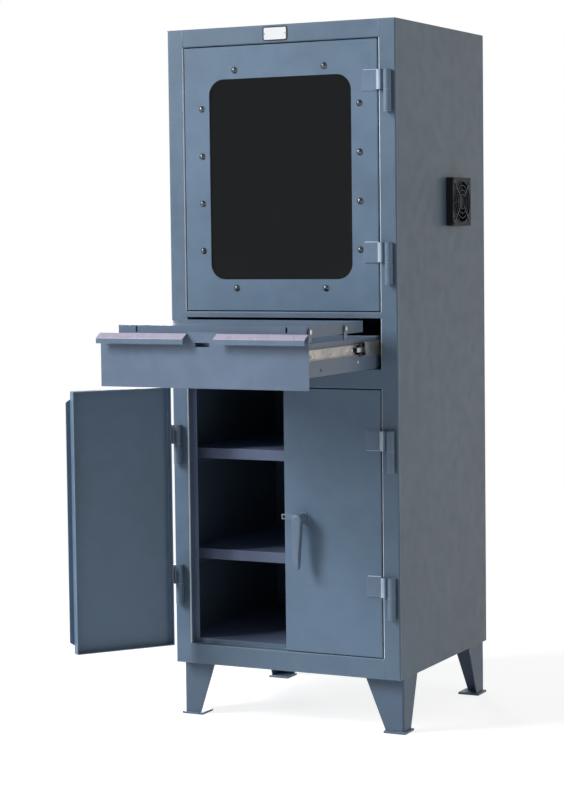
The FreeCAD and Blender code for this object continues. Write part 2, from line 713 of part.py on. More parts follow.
def make_latch_rods():
    """Two round rods with slotted feet on the cam pins. They stand retracted at rest."""
    foot_front = FRONT + SHEET + CAM_GAP + CAM_THICKNESS + ROD_FOOT_GAP
    for name, end, door_edge in (
        ("latch_rod_top", 1, LOWER_OPEN_TOP - DOOR_GAP),
        ("latch_rod_bottom", -1, LOWER_OPEN_BOTTOM + DOOR_GAP),
    ):
        pin = crank_pin_place(end)
        far_end = door_edge - end * SHEET / 2
        near_end = BASE + HANDLE_Z + end * (CAM_R + ROD_STROKE / 2 + ROD_LEAD)
        length = abs(far_end - near_end)
        bar = rod(Vector(rod_x(end), rod_y(), near_end), Z_AXIS * end, ROD_R, length)
        foot_low = pin.z - end * ROD_FOOT_HEIGHT / 2
        foot_high = near_end + end * 2 * ROD_R
        half_foot = ROD_OFFSET - ROD_FOOT_PLAY
        foot = block(rod_x(end) - half_foot, rod_x(end) + half_foot,
                     foot_front, foot_front + ROD_FOOT_THICKNESS,
                     min(foot_low, foot_high), max(foot_low, foot_high))
        slot_height = CRANK_PIN_R + ROD_FOOT_SLACK
        slot_start = pin.x - end * (CRANK_PIN_R + ROD_FOOT_WALL)
        slot_end = pin.x + end * (CRANK_PIN_R + ROD_FOOT_TRAVEL)
        slot = block(min(slot_start, slot_end), max(slot_start, slot_end),
                     foot_front - CUT, foot_front + ROD_FOOT_THICKNESS + CUT,
                     pin.z - slot_height, pin.z + slot_height)
        export(name, bar.fuse(foot).removeSplitter().cut(slot))

    guides = []
    sheet_back = FRONT + SHEET
    for end, door_edge in ((1, LOWER_OPEN_TOP - DOOR_GAP), (-1, LOWER_OPEN_BOTTOM + DOOR_GAP)):
        middle = door_edge - end * GUIDE_FROM_EDGE
        guide = block(rod_x(end) - GUIDE_WIDTH / 2, rod_x(end) + GUIDE_WIDTH / 2,
                      sheet_back, rod_y() + ROD_R + SHEET,
                      middle - GUIDE_HEIGHT / 2, middle + GUIDE_HEIGHT / 2)
        hole = rod(Vector(rod_x(end), rod_y(), middle - GUIDE_HEIGHT), Z_AXIS,
                   ROD_R + ROD_CLEARANCE, 2 * GUIDE_HEIGHT)
        guides.append(guide.cut(hole))
    export("rod_guides", *guides)


# ---------------------------------------------------------------- keyboard drawer
def make_drawer():
    """A slotted front with two pull lips, over a spot-welded box, all at full reach."""
    half = OPENING_HALF + FRONT_OVERLAY
    back = DRAWER_BACK_FACE
    face = back - SHEET
    top = BASE + FRONT_TOP
    front = block(-half, half, face, back, BASE + FRONT_BOTTOM, top - LIP_FALL)
    front = front.fuse(block(-LIP_NOTCH / 2, LIP_NOTCH / 2, face, back, BASE + FRONT_BOTTOM, top))
    lip_path = [
        (back, BASE + FRONT_BOTTOM),
        (back, top),
        (back - LIP_REACH, top - LIP_FALL),
        (back - LIP_REACH, top - LIP_FALL - LIP_DROP),
    ]
    lips = []
    for start in (-half, LIP_NOTCH / 2):
        lips.append(folded_sheet(lip_path, SHEET, BEND, at_side(start), X_AXIS, half - LIP_NOTCH / 2))
    front = front.fuse(lips).removeSplitter()
    slot = block(-FRONT_SLOT_WIDTH / 2, FRONT_SLOT_WIDTH / 2, face - CUT, back + CUT,
                 BASE + FRONT_SLOT_Z - FRONT_SLOT_HEIGHT / 2, BASE + FRONT_SLOT_Z + FRONT_SLOT_HEIGHT / 2)
    export("drawer_front", front.cut(slot))

    end = back + BOX_LENGTH
    low = BASE + BOX_BOTTOM
    high = BASE + BOX_TOP
    inner = BOX_HALF - BOX_SHEET
    export("drawer_bottom", block(-inner, inner, back + BOX_SHEET, end - BOX_SHEET, low, low + BOX_SHEET))
    side = block(inner, BOX_HALF, back, end, low, high)
    export("drawer_sides", side, mirrored(side))
    wall = block(-inner, inner, back, back + BOX_SHEET, low, high)
    wall = wall.cut(block(-FRONT_SLOT_WIDTH / 2, FRONT_SLOT_WIDTH / 2, back - CUT, back + 2 * BOX_SHEET,
                          BASE + FRONT_SLOT_Z - FRONT_SLOT_HEIGHT, high + CUT))
    rear = block(-inner, inner, end - BOX_SHEET, end, low, high)
    export("drawer_ends", wall, rear)


def slide_member(web_x, lip_x, half_height, start_y, length):
    """A channel lying on its side: the web stands at web_x and its flanges reach lip_x."""
    step = SLIDE_SHEET if lip_x > web_x else -SLIDE_SHEET
    middle = BASE + SLIDE_CENTRE
    outline = [
        (web_x, -half_height),
        (lip_x, -half_height),
        (lip_x, -half_height + SLIDE_SHEET),
        (web_x + step, -half_height + SLIDE_SHEET),
        (web_x + step, half_height - SLIDE_SHEET),
        (lip_x, half_height - SLIDE_SHEET),
        (lip_x, half_height),
        (web_x, half_height),
    ]
    return prism(outline, lambda x, z: Vector(x, start_y, middle + z), Y_AXIS, length)


def make_slides():
    """Three nested channels a side. The middle one moves half as far as the drawer."""
    outer_web = BOX_HALF + SLIDE_THICKNESS
    step = SLIDE_SHEET + BALL_RACE
    outer = slide_member(outer_web, BOX_HALF + 2 * SLIDE_WEB_PLAY, SLIDE_HEIGHT / 2,
                         FRONT + OUTER_MEMBER_FRONT, OUTER_MEMBER_LENGTH)
    export("slide_outer_members", outer, mirrored(outer))
    middle_web = outer_web - SLIDE_SHEET - SLIDE_WEB_PLAY
    middle = slide_member(middle_web, BOX_HALF + SLIDE_SHEET + SLIDE_PLAY, SLIDE_HEIGHT / 2 - step,
                          FRONT - MIDDLE_MEMBER_FRONT, MIDDLE_MEMBER_LENGTH)
    export("slide_middle_members", middle, mirrored(middle))
    inner = slide_member(BOX_HALF, middle_web - SLIDE_SHEET - SLIDE_PLAY, SLIDE_HEIGHT / 2 - 2 * step,
                         DRAWER_BACK_FACE + INNER_MEMBER_FRONT, INNER_MEMBER_LENGTH)
    export("slide_inner_members", inner, mirrored(inner))

    middle_z = BASE + SLIDE_CENTRE
    path = [
        (INNER_HALF, middle_z - BRACKET_HEIGHT / 2),
        (outer_web, middle_z - BRACKET_HEIGHT / 2),
        (outer_web, middle_z + BRACKET_HEIGHT / 2),
        (INNER_HALF, middle_z + BRACKET_HEIGHT / 2),
    ]
    start = JAMB_BACK + SHEET
    bracket = folded_sheet(path[::-1], SHEET, BEND, lambda x, z: Vector(x, start, z), Y_AXIS,
                           BACK - SHEET - start)
    export("slide_brackets", bracket, mirrored(bracket))


def link_places():
    """Y of the front and rear pivots, with the tray raised and the links upright."""
    front = TRAY_FRONT_Y + LINK_FRONT
    return front, front + LINK_SPACING


def make_tray():
    """A folded tray on four flat links that swing back and lower it into the drawer."""
    top = BASE + TRAY_TOP
    rear = TRAY_FRONT_Y + TRAY_LENGTH
    half = TRAY_HALF_WIDTH
    tray = block(-half, half, TRAY_FRONT_Y, rear, top - TRAY_FLANGE, top)
    tray = tray.cut(block(-half + TRAY_SHEET, half - TRAY_SHEET, TRAY_FRONT_Y + TRAY_SHEET,
                          rear - TRAY_SHEET, top - TRAY_FLANGE - CUT, top - TRAY_SHEET))
    for x in (-TRAY_SLOT_X, TRAY_SLOT_X):
        tray = tray.cut(block(x - TRAY_SLOT_WIDTH / 2, x + TRAY_SLOT_WIDTH / 2, TRAY_FRONT_Y - CUT,
                              TRAY_FRONT_Y + 2 * TRAY_SHEET, top - TRAY_SLOT_DROP - TRAY_SLOT_HEIGHT,
                              top - TRAY_SLOT_DROP))
    export("keyboard_tray", tray)

    high = top - LINK_TOP_DROP
    low = high - LINK_LENGTH
    link_inner = half + LINK_GAP
    link_outer = link_inner + LINK_THICKNESS
    head_start = link_outer + LINK_GAP
    box_inner = BOX_HALF - BOX_SHEET
    tray_studs = []
    drawer_studs = []
    for name, y, clearance in zip(("tray_links_front", "tray_links_rear"), link_places(),
                                  (STUD_RUNNING, OPEN_PIVOT_CLEARANCE)):
        link = block(link_inner, link_outer, y - LINK_HALF_WIDTH, y + LINK_HALF_WIDTH, low, high)
        for z in (low, high):
            link = link.fuse(rod(Vector(link_inner, y, z), X_AXIS, LINK_HALF_WIDTH, LINK_THICKNESS))
        link = link.removeSplitter()
        link = link.cut(rod(Vector(link_inner, y, high), X_AXIS, STUD_R + clearance, LINK_THICKNESS))
        link = link.cut(rod(Vector(link_inner, y, low), X_AXIS, STUD_R + STUD_RUNNING, LINK_THICKNESS))
        export(name, link, mirrored(link))
        shank = rod(Vector(half, y, high), X_AXIS, STUD_R, head_start - half)
        head = rod(Vector(head_start, y, high), X_AXIS, STUD_HEAD_R, STUD_HEAD_HEIGHT)
        stud = shank.fuse(head).removeSplitter()
        tray_studs.extend([stud, mirrored(stud)])
        shank = rod(Vector(link_inner, y, low), X_AXIS, STUD_R, box_inner - link_inner)
        boss = rod(Vector(head_start, y, low), X_AXIS, STUD_HEAD_R, box_inner - head_start)
        stud = shank.fuse(boss).removeSplitter()
        drawer_studs.extend([stud, mirrored(stud)])
    export("tray_studs", *tray_studs)
    export("drawer_studs", *drawer_studs)


# ---------------------------------------------------------------- fan
def make_fan():
    """An axial fan on the right side: moulded frame with motor arms, rotor and wire guard."""
    centre = Vector(HALF_WIDTH, FAN_Y, BASE + FAN_Z)
    half = FAN_SIZE / 2
    frame = block(0, FAN_DEPTH, -half, half, -half, half)
    for y in (-half, half):
        for z in (-half, half):
            frame = round_line(frame, Vector(0, y, z), X_AXIS, FAN_CORNER)
    frame = frame.cut(rod(-X_AXIS * CUT, X_AXIS, FAN_BORE_R, FAN_DEPTH + 2 * CUT))
    arms = []
    for turn in range(4):
        arm = block(0, FAN_MOTOR_THICKNESS, 0, FAN_BORE_R + CUT, -FAN_STRUT_WIDTH / 2, FAN_STRUT_WIDTH / 2)
        arm.rotate(Vector(0, 0, 0), X_AXIS, 45 + 90 * turn)
        arms.append(arm)
    motor = rod(Vector(0, 0, 0), X_AXIS, FAN_HUB_R, FAN_MOTOR_THICKNESS)
    bore_depth = FAN_HUB_LENGTH - FAN_HUB_FACE
    spindle = rod(Vector(0, 0, 0), X_AXIS, FAN_SPINDLE_R, FAN_MOTOR_THICKNESS + bore_depth)
    frame = frame.fuse(arms + [motor, spindle]).removeSplitter()
    for y in (-1, 1):
        for z in (-1, 1):
            place = Vector(-CUT, y * FAN_SCREW_SPREAD / 2, z * FAN_SCREW_SPREAD / 2)
            frame = frame.cut(rod(place, X_AXIS, FAN_SCREW_R, FAN_DEPTH + 2 * CUT))
    frame.translate(centre)
    export("fan_housing", frame)

    hub_start = FAN_MOTOR_THICKNESS + FAN_HUB_GAP
    hub = rod(Vector(hub_start, 0, 0), X_AXIS, FAN_HUB_R, FAN_HUB_LENGTH)
    blades = [fan_blade(360.0 / FAN_BLADES * step, hub_start) for step in range(FAN_BLADES)]
    rotor = hub.fuse(blades).removeSplitter()
    rotor = rotor.cut(rod(Vector(hub_start, 0, 0), X_AXIS, FAN_SPINDLE_R + STUD_RUNNING, bore_depth))
    rotor.translate(centre)
    export("fan_rotor", rotor)

    wires = []
    for radius in GUARD_RINGS:
        ring = rod(Vector(0, 0, 0), X_AXIS, radius + GUARD_WIRE / 2, GUARD_WIRE)
        wires.append(ring.cut(rod(-X_AXIS * CUT, X_AXIS, radius - GUARD_WIRE / 2, GUARD_WIRE + 2 * CUT)))
    reach = FAN_SCREW_SPREAD / math.sqrt(2) + 3 * FAN_SCREW_R
    for turn in range(4):
        arm = block(0, GUARD_WIRE, GUARD_RINGS[0], reach, -GUARD_WIRE, GUARD_WIRE)
        arm.rotate(Vector(0, 0, 0), X_AXIS, 45 + 90 * turn)
        wires.append(arm)
    guard = wires[0].fuse(wires[1:]).removeSplitter()
    guard.translate(centre + X_AXIS * FAN_DEPTH)
    export("fan_guard", guard)


def fan_blade(turn, hub_start):
    """A twisted blade: three thin sections at growing radius, each laid flatter than the last."""
    sections = []
    radii = (FAN_HUB_R - FAN_BLADE_SINK, (FAN_HUB_R + FAN_BLADE_TIP_R) / 2, FAN_BLADE_TIP_R)
    for radius, pitch in zip(radii, FAN_BLADE_PITCHES):
        slope = math.radians(pitch)
        reach = min(FAN_BLADE_CHORD / 2, (FAN_HUB_LENGTH / 2 - FAN_BLADE_MARGIN) / math.sin(slope))
        corners = []
        for along, across in ((-reach, -1), (reach, -1), (reach, 1), (-reach, 1)):
            depth = along * math.sin(slope) + across * FAN_BLADE_THICKNESS / 2 * math.cos(slope)
            side = along * math.cos(slope) - across * FAN_BLADE_THICKNESS / 2 * math.sin(slope)
            corners.append(Vector(hub_start + FAN_HUB_LENGTH / 2 + depth, side, radius))
        sections.append(Part.makePolygon(corners + corners[:1]))
    blade = Part.makeLoft(sections, True, True)
    blade.rotate(Vector(0, 0, 0), X_AXIS, turn)
    return blade


make_shell()
make_front_frame()
make_door_stops()
make_decks()
make_legs()
make_shelves()
make_hinges()
make_upper_door()
make_lower_doors()
make_handle()
make_latch_rods()
make_drawer()
make_slides()
make_tray()
make_fan()
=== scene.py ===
import json
import math
import bpy
from mathutils import Matrix, Vector


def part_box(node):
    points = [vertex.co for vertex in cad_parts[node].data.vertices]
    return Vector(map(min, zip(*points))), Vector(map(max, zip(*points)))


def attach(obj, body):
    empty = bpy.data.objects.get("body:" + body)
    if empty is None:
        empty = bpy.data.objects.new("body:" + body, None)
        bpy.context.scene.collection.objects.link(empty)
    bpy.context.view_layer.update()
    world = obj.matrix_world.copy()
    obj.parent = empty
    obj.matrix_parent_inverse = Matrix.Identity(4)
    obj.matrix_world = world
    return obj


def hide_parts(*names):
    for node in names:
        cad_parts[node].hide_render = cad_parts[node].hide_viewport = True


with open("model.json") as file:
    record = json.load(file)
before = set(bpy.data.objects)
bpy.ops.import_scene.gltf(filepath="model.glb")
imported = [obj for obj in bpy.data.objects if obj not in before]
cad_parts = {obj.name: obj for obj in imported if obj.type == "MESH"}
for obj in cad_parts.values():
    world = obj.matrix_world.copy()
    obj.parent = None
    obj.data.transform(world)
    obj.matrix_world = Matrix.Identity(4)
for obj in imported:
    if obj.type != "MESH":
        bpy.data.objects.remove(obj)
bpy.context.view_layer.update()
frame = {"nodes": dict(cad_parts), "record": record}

# ---------------------------------------------------------------------------
# The shell: top, bottom, two sides and the back, 12-gauge cold-rolled steel
# sheets, welded at the corners, ground flush and sprayed with a satin
# blue-grey enamel that is baked on.
# ---------------------------------------------------------------------------
MM = 0.001
# The shell's blue is darker and greyer than the front's enamel: painted shade, for the sides that stand out
# of the key light.
SHADED_SHELL_BLUE = "#566a7a"
DULL_STEEL = "#9aa0a6"
SHELL_EDGE = 0.7 * MM


def linear(hex_colour):
    parts = [int(hex_colour[i:i + 2], 16) / 255 for i in (1, 3, 5)]
    bent = [c / 12.92 if c <= 0.04045 else ((c + 0.055) / 1.055) ** 2.4 for c in parts]
    return (*bent, 1.0)


def add_node(tree, kind, settings=None, links=None):
    node = tree.nodes.new(kind)
    for key, value in (settings or {}).items():
        if isinstance(key, str) and hasattr(node, key):
            setattr(node, key, value)
        else:
            node.inputs[key].default_value = value
    for key, socket in (links or {}).items():
        tree.links.new(socket, node.inputs[key])
    return node


def new_material(name):
    material = bpy.data.materials.new(name)
    material.use_nodes = True
    material.node_tree.nodes.clear()
    return material, material.node_tree


# Baked satin enamel on rolled steel. The spray leaves a fine orange peel, and
# the colour clouds a little over a hand's breadth. The eased edges get a paler
# copy, which is a painted highlight, and its chips show dull steel.
def satin_enamel(name, colour, chips=0.0, roughness=0.42, peel=0.12, specular=0.4):
    cloud, mottle, orange_peel, peel_depth, chip = 320 * MM, 45 * MM, 2.6 * MM, 0.3 * MM, 5 * MM
    material, tree = new_material(name)
    place = add_node(tree, "ShaderNodeTexCoord").outputs["Object"]
    base = linear(colour)
    darker = [c * 0.90 for c in base[:3]] + [1.0]
    lighter = [min(1.0, c * 1.10) for c in base[:3]] + [1.0]
    clouds = add_node(tree, "ShaderNodeTexNoise", {"Scale": 1 / cloud, "Detail": 2.0}, {"Vector": place})
    spots = add_node(tree, "ShaderNodeTexNoise", {"Scale": 1 / mottle, "Detail": 4.0}, {"Vector": place})
    spread = add_node(tree, "ShaderNodeMath", {"operation": "MULTIPLY_ADD", 1: 0.35, 2: 0.0},
                      {0: spots.outputs[0]})
    both = add_node(tree, "ShaderNodeMath", {"operation": "MULTIPLY_ADD", 1: 0.65},
                    {0: clouds.outputs[0], 2: spread.outputs[0]})
    blend = add_node(tree, "ShaderNodeMapRange", {"From Min": 0.36, "From Max": 0.64},
                     {"Value": both.outputs[0]})
    colour_mix = add_node(tree, "ShaderNodeMix", {"data_type": "RGBA", 6: darker, 7: lighter},
                          {0: blend.outputs[0]})
    sheen = add_node(tree, "ShaderNodeMapRange", {"From Min": 0.3, "From Max": 0.7,
                                                  "To Min": roughness - 0.05, "To Max": roughness + 0.06},
                     {"Value": spots.outputs[0]})
    ripple = add_node(tree, "ShaderNodeTexNoise", {"Scale": 1 / orange_peel, "Detail": 1.0},
                      {"Vector": place})
    bump = add_node(tree, "ShaderNodeBump", {"Strength": peel, "Distance": peel_depth},
                    {"Height": ripple.outputs[0]})
    shader = add_node(tree, "ShaderNodeBsdfPrincipled", {"Specular IOR Level": specular},
                      {"Base Color": colour_mix.outputs[2], "Roughness": sheen.outputs[0],
                       "Normal": bump.outputs[0]})
    if chips:
        wear = add_node(tree, "ShaderNodeTexNoise", {"Scale": 1 / chip, "Detail": 3.0}, {"Vector": place})
        bare = add_node(tree, "ShaderNodeMapRange", {"From Min": 1.0 - chips, "From Max": 1.03 - chips},
                        {"Value": wear.outputs[0]})
        rubbed = add_node(tree, "ShaderNodeMix", {"data_type": "RGBA", 7: linear(DULL_STEEL)},
                          {0: bare.outputs[0], 6: colour_mix.outputs[2]})
        tree.links.new(rubbed.outputs[2], shader.inputs["Base Color"])
        tree.links.new(bare.outputs[0], shader.inputs["Metallic"])
    add_node(tree, "ShaderNodeOutputMaterial", {}, {"Surface": shader.outputs[0]})
    return material


body_of = {n: body for body, nodes in frame["record"]["behaviour"]["bodies"].items() for n in nodes}
SAME_POINT = 0.01 * MM
# Angles between two faces: flat up to the first, an edge from the second on,
# and shaded as one face up to the third.
FLAT_WITHIN, SHARP_FROM, SMOOTH_UP_TO = (math.radians(angle) for angle in (0.5, 30, 40))


# A sheet-metal part as it comes off the bench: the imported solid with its
# doubles merged and its edges broken, in its own finish. It stands for the
# node, and rides on the node's body.
def finish_part(node, face, edge_face, edge):
    piece = bpy.data.objects.new("finished_" + node, frame["nodes"][node].data.copy())
    bpy.context.scene.collection.objects.link(piece)
    bpy.ops.object.select_all(action="DESELECT")
    piece.select_set(True)
    bpy.context.view_layer.objects.active = piece
    bpy.ops.object.mode_set(mode="EDIT")
    bpy.ops.mesh.select_all(action="SELECT")
    bpy.ops.mesh.remove_doubles(threshold=SAME_POINT)
    bpy.ops.mesh.dissolve_limited(angle_limit=FLAT_WITHIN)
    bpy.ops.object.mode_set(mode="OBJECT")
    piece.data.materials.clear()
    piece.data.materials.append(face)
    piece.data.materials.append(edge_face)
    piece.data.polygons.foreach_set("material_index", [0] * len(piece.data.polygons))
    if edge:
        eased = piece.modifiers.new("eased_edges", "BEVEL")
        eased.width = edge
        eased.segments = 2
        eased.limit_method = "ANGLE"
        eased.angle_limit = SHARP_FROM
        eased.use_clamp_overlap = True
        eased.material = 1
        bpy.ops.object.modifier_apply(modifier=eased.name)
    bpy.ops.object.shade_smooth_by_angle(angle=SMOOTH_UP_TO)
    flat = piece.modifiers.new("flat_faces_stay_flat", "WEIGHTED_NORMAL")
    flat.keep_sharp = True
    bpy.ops.object.modifier_apply(modifier=flat.name)
    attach(piece, body_of[node])
    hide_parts(node)
    return piece


# The shell's enamel is a darker copy of the front's, which is painted shade.
shell_enamel = satin_enamel("satin_enamel_shell", SHADED_SHELL_BLUE)
# Its edges get a paler copy, a painted highlight, with chips of dull steel.
shell_enamel_edge = satin_enamel("satin_enamel_shell_edge", "#758a9b", chips=0.36)
for sheet in ("top_panel", "bottom_panel", "back_panel", "side_panel_left", "side_panel_right"):
    finish_part(sheet, shell_enamel, shell_enamel_edge, SHELL_EDGE)

# ---------------------------------------------------------------------------
# The front frame: two stiles with bent jambs, the header, two rails and the
# sill, folded from the same sheet and welded flush in the shell's mouth.
# ---------------------------------------------------------------------------
FRAME_EDGE = 0.8 * MM
frame_enamel = satin_enamel("satin_enamel_front_frame", "#61768b")
# Its edges get a paler copy, a painted highlight, with chips of dull steel.
frame_enamel_edge = satin_enamel("satin_enamel_front_frame_edge", "#8395aa", chips=0.38)
for member in ("header_rail", "upper_rail", "lower_rail", "sill_rail"):
    finish_part(member, frame_enamel, frame_enamel_edge, FRAME_EDGE)

# The jambs' bends get a near-white enamel, a painted highlight, with chips of
# dull steel. A bend is where the jamb's face has begun to turn in from the front.
BEND_TURNED_IN, JAMB_TURNED_IN, STILL_FORWARD = 0.25, 0.98, 0.15
painted_highlight_bend = satin_enamel("painted_highlight_on_bends", "#dfe8f1", chips=0.3, roughness=0.22, specular=0.5)
for member in ("stile_left", "stile_right"):
    stile = finish_part(member, frame_enamel, frame_enamel_edge, FRAME_EDGE)
    stile.data.materials.append(painted_highlight_bend)
    for face in stile.data.polygons:
        inward = -face.normal.x if face.center.x > 0 else face.normal.x
        if BEND_TURNED_IN < inward < JAMB_TURNED_IN and face.normal.y < -STILL_FORWARD:
            face.material_index = len(stile.data.materials) - 1


# A block sawn from bar or sheet, with its edges eased by a file.
def sawn_block(low, high, ease, segments=2):
    low, high = Vector(low), Vector(high)
    bpy.ops.object.select_all(action="DESELECT")
    bpy.ops.mesh.primitive_cube_add(size=1, location=(low + high) / 2)
    block = bpy.context.object
    block.scale = high - low
    bpy.ops.object.transform_apply(location=True, rotation=True, scale=True)
    rounding = block.modifiers.new("filed_edges", "BEVEL")
    rounding.width = ease
    rounding.segments = segments
    bpy.ops.object.modifier_apply(modifier=rounding.name)
    bpy.ops.object.shade_smooth_by_angle(angle=SMOOTH_UP_TO)
    return block


# A copy of a finished pattern, with its own mesh, moved to its place.
def placed_copy(pattern, place):
    piece = pattern.copy()
    piece.data = pattern.data.copy()
    bpy.context.scene.collection.objects.link(piece)
    piece.data.transform(place)
    return piece


# Like parts, joined into one piece in one finish, which rides on one body.
def one_piece(parts, name, finish, body):
    bpy.ops.object.select_all(action="DESELECT")
    for part in parts:
        part.select_set(True)
    bpy.context.view_layer.objects.active = parts[0]
    if len(parts) > 1:
        bpy.ops.object.join()
    whole = bpy.context.object
    whole.name = name
    whole.data.name = name
    whole.data.materials.clear()
    whole.data.materials.append(finish)
    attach(whole, body)
    return whole


# Where a rail meets a stile, the groove of the bend is filled with weld metal
# and ground flush before painting, so no seam shows.
STOP_LIP = 12 * MM
BEND_OUTSIDE = 4.2 * MM
WELD_LAP = 0.8 * MM
WELD_PROUD = 0.08 * MM
WELD_EASE = 0.05 * MM
fillers = []
for member, lip_below, lip_above in (("header_rail", STOP_LIP, 0), ("upper_rail", 0, STOP_LIP),
                                     ("lower_rail", STOP_LIP, 0), ("sill_rail", 0, STOP_LIP)):
    rail_low, rail_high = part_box(member)
    filler = sawn_block((rail_high.x - WELD_LAP, rail_low.y - WELD_PROUD, rail_low.z + lip_below),
                        (rail_high.x + BEND_OUTSIDE, rail_low.y + BEND_OUTSIDE, rail_high.z - lip_above),
                        WELD_EASE)
    across = 2 * rail_high.x + BEND_OUTSIDE - WELD_LAP
    fillers += [filler, placed_copy(filler, Matrix.Translation((-across, 0, 0)))]
one_piece(fillers, "ground_corner_welds", frame_enamel, "cabinet")

# ---------------------------------------------------------------------------
# The header's plate: a small aluminium plate with a dark anodised rim and a
# bare pale face, held to the header by two drive rivets.
# ---------------------------------------------------------------------------
PLATE_MIDDLE_X, PLATE_MIDDLE_Z = -10 * MM, 1962.75 * MM
PLATE_WIDTH, PLATE_HEIGHT, PLATE_THICKNESS = 76 * MM, 40 * MM, 1.4 * MM
PLATE_CORNER, PLATE_RIM, PLATE_STEP, PLATE_BEVEL = 6.5 * MM, 3.0 * MM, 0.25 * MM, 0.3 * MM
frame_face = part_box("header_rail")[0].y
plate_middle = (PLATE_MIDDLE_X, frame_face - PLATE_THICKNESS / 2, PLATE_MIDDLE_Z)
bpy.ops.object.select_all(action="DESELECT")
bpy.ops.mesh.primitive_cube_add(size=1, location=plate_middle)
plate = bpy.context.object
plate.scale = (PLATE_WIDTH, PLATE_THICKNESS, PLATE_HEIGHT)
bpy.ops.object.transform_apply(location=True, rotation=True, scale=True)
bpy.ops.object.mode_set(mode="EDIT")
bpy.ops.mesh.select_all(action="DESELECT")
bpy.ops.mesh.select_mode(type="EDGE")
bpy.ops.object.mode_set(mode="OBJECT")
for edge in plate.data.edges:
    start, end = (plate.data.vertices[index].co for index in edge.vertices)
    edge.select = abs(start.y - end.y) > PLATE_THICKNESS / 2
bpy.ops.object.mode_set(mode="EDIT")
bpy.ops.mesh.bevel(offset=PLATE_CORNER, segments=5, affect="EDGES")
bpy.ops.mesh.select_all(action="DESELECT")
bpy.ops.mesh.select_mode(type="FACE")
bpy.ops.object.mode_set(mode="OBJECT")
for face in plate.data.polygons:
    face.select = face.normal.y < -0.9
bpy.ops.object.mode_set(mode="EDIT")
bpy.ops.mesh.inset(thickness=PLATE_RIM)
bpy.ops.mesh.inset(thickness=PLATE_BEVEL, depth=-PLATE_STEP)
bpy.ops.object.mode_set(mode="OBJECT")
for face in plate.data.polygons:
    face.material_index = 1 if face.select else 0
plate.name = "header_plate"


# Anodised aluminium: a matt dyed skin, drawn along one way.
def anodised_aluminium(name, colour, metallic, roughness):
    drawn_long, drawn_fine = 18 * MM, 0.5 * MM
    material, tree = new_material(name)
    place = add_node(tree, "ShaderNodeTexCoord").outputs["Object"]
    lay = add_node(tree, "ShaderNodeMapping", {"Scale": (1 / drawn_long, 1 / drawn_fine, 1 / drawn_fine)},
                   {"Vector": place})
    lines = add_node(tree, "ShaderNodeTexNoise", {"Scale": 1.0, "Detail": 2.0}, {"Vector": lay.outputs[0]})
    base = linear(colour)
    shaded = [c * 0.93 for c in base[:3]] + [1.0]
    colour_mix = add_node(tree, "ShaderNodeMix", {"data_type": "RGBA", 6: shaded, 7: base},
                          {0: lines.outputs[0]})
    bump = add_node(tree, "ShaderNodeBump", {"Strength": 0.05, "Distance": 0.1 * MM},
                    {"Height": lines.outputs[0]})
    shader = add_node(tree, "ShaderNodeBsdfPrincipled", {"Metallic": metallic, "Roughness": roughness},
                      {"Base Color": colour_mix.outputs[2], "Normal": bump.outputs[0]})
    add_node(tree, "ShaderNodeOutputMaterial", {}, {"Surface": shader.outputs[0]})
    return material


plate.data.materials.append(anodised_aluminium("dark_anodised_rim", "#12161a", 0.2, 0.5))
plate.data.materials.append(anodised_aluminium("white_anodised_face", "#f0f2f2", 0.0, 0.40))
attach(plate, "cabinet")


# A fastener's head: a turned disc raised in two steps to a low dome. A screw
# also gets a socket. It's turned once, facing up, and set out as copies. The
# steps are shares of its radius, inwards, and of its height, upwards.
def domed_head(radius, height, socket=0.0):
    shoulder, crown, socket_edge, socket_wall = (0.24, 0.32), (0.28, 0.18), 0.06, 0.02
    bpy.ops.object.select_all(action="DESELECT")
    bpy.ops.mesh.primitive_cylinder_add(vertices=20, radius=radius, depth=height / 2,
                                        location=(0, 0, height / 4))
    head = bpy.context.object
    bpy.ops.object.mode_set(mode="EDIT")
    bpy.ops.mesh.select_all(action="DESELECT")
    bpy.ops.mesh.select_mode(type="FACE")
    bpy.ops.object.mode_set(mode="OBJECT")
    for face in head.data.polygons:
        face.select = face.normal.z > 0.9
    bpy.ops.object.mode_set(mode="EDIT")
    for inward, upward in (shoulder, crown):
        bpy.ops.mesh.inset(thickness=radius * inward, depth=height * upward)
    if socket:
        bpy.ops.mesh.inset(thickness=radius * socket_edge)
        bpy.ops.mesh.inset(thickness=radius * socket_wall, depth=-socket)
    bpy.ops.object.mode_set(mode="OBJECT")
    bpy.ops.object.transform_apply(location=True, rotation=True, scale=True)
    bpy.ops.object.shade_smooth_by_angle(angle=math.radians(50))
    return head


# Copies of a pattern, each at its place and facing its way.
def set_out(pattern, places):
    copies = []
    for at, way in places:
        turned = Vector(way).to_track_quat("Z", "Y").to_matrix().to_4x4()
        copies.append(placed_copy(pattern, Matrix.Translation(at) @ turned))
    bpy.data.objects.remove(pattern)
    return copies


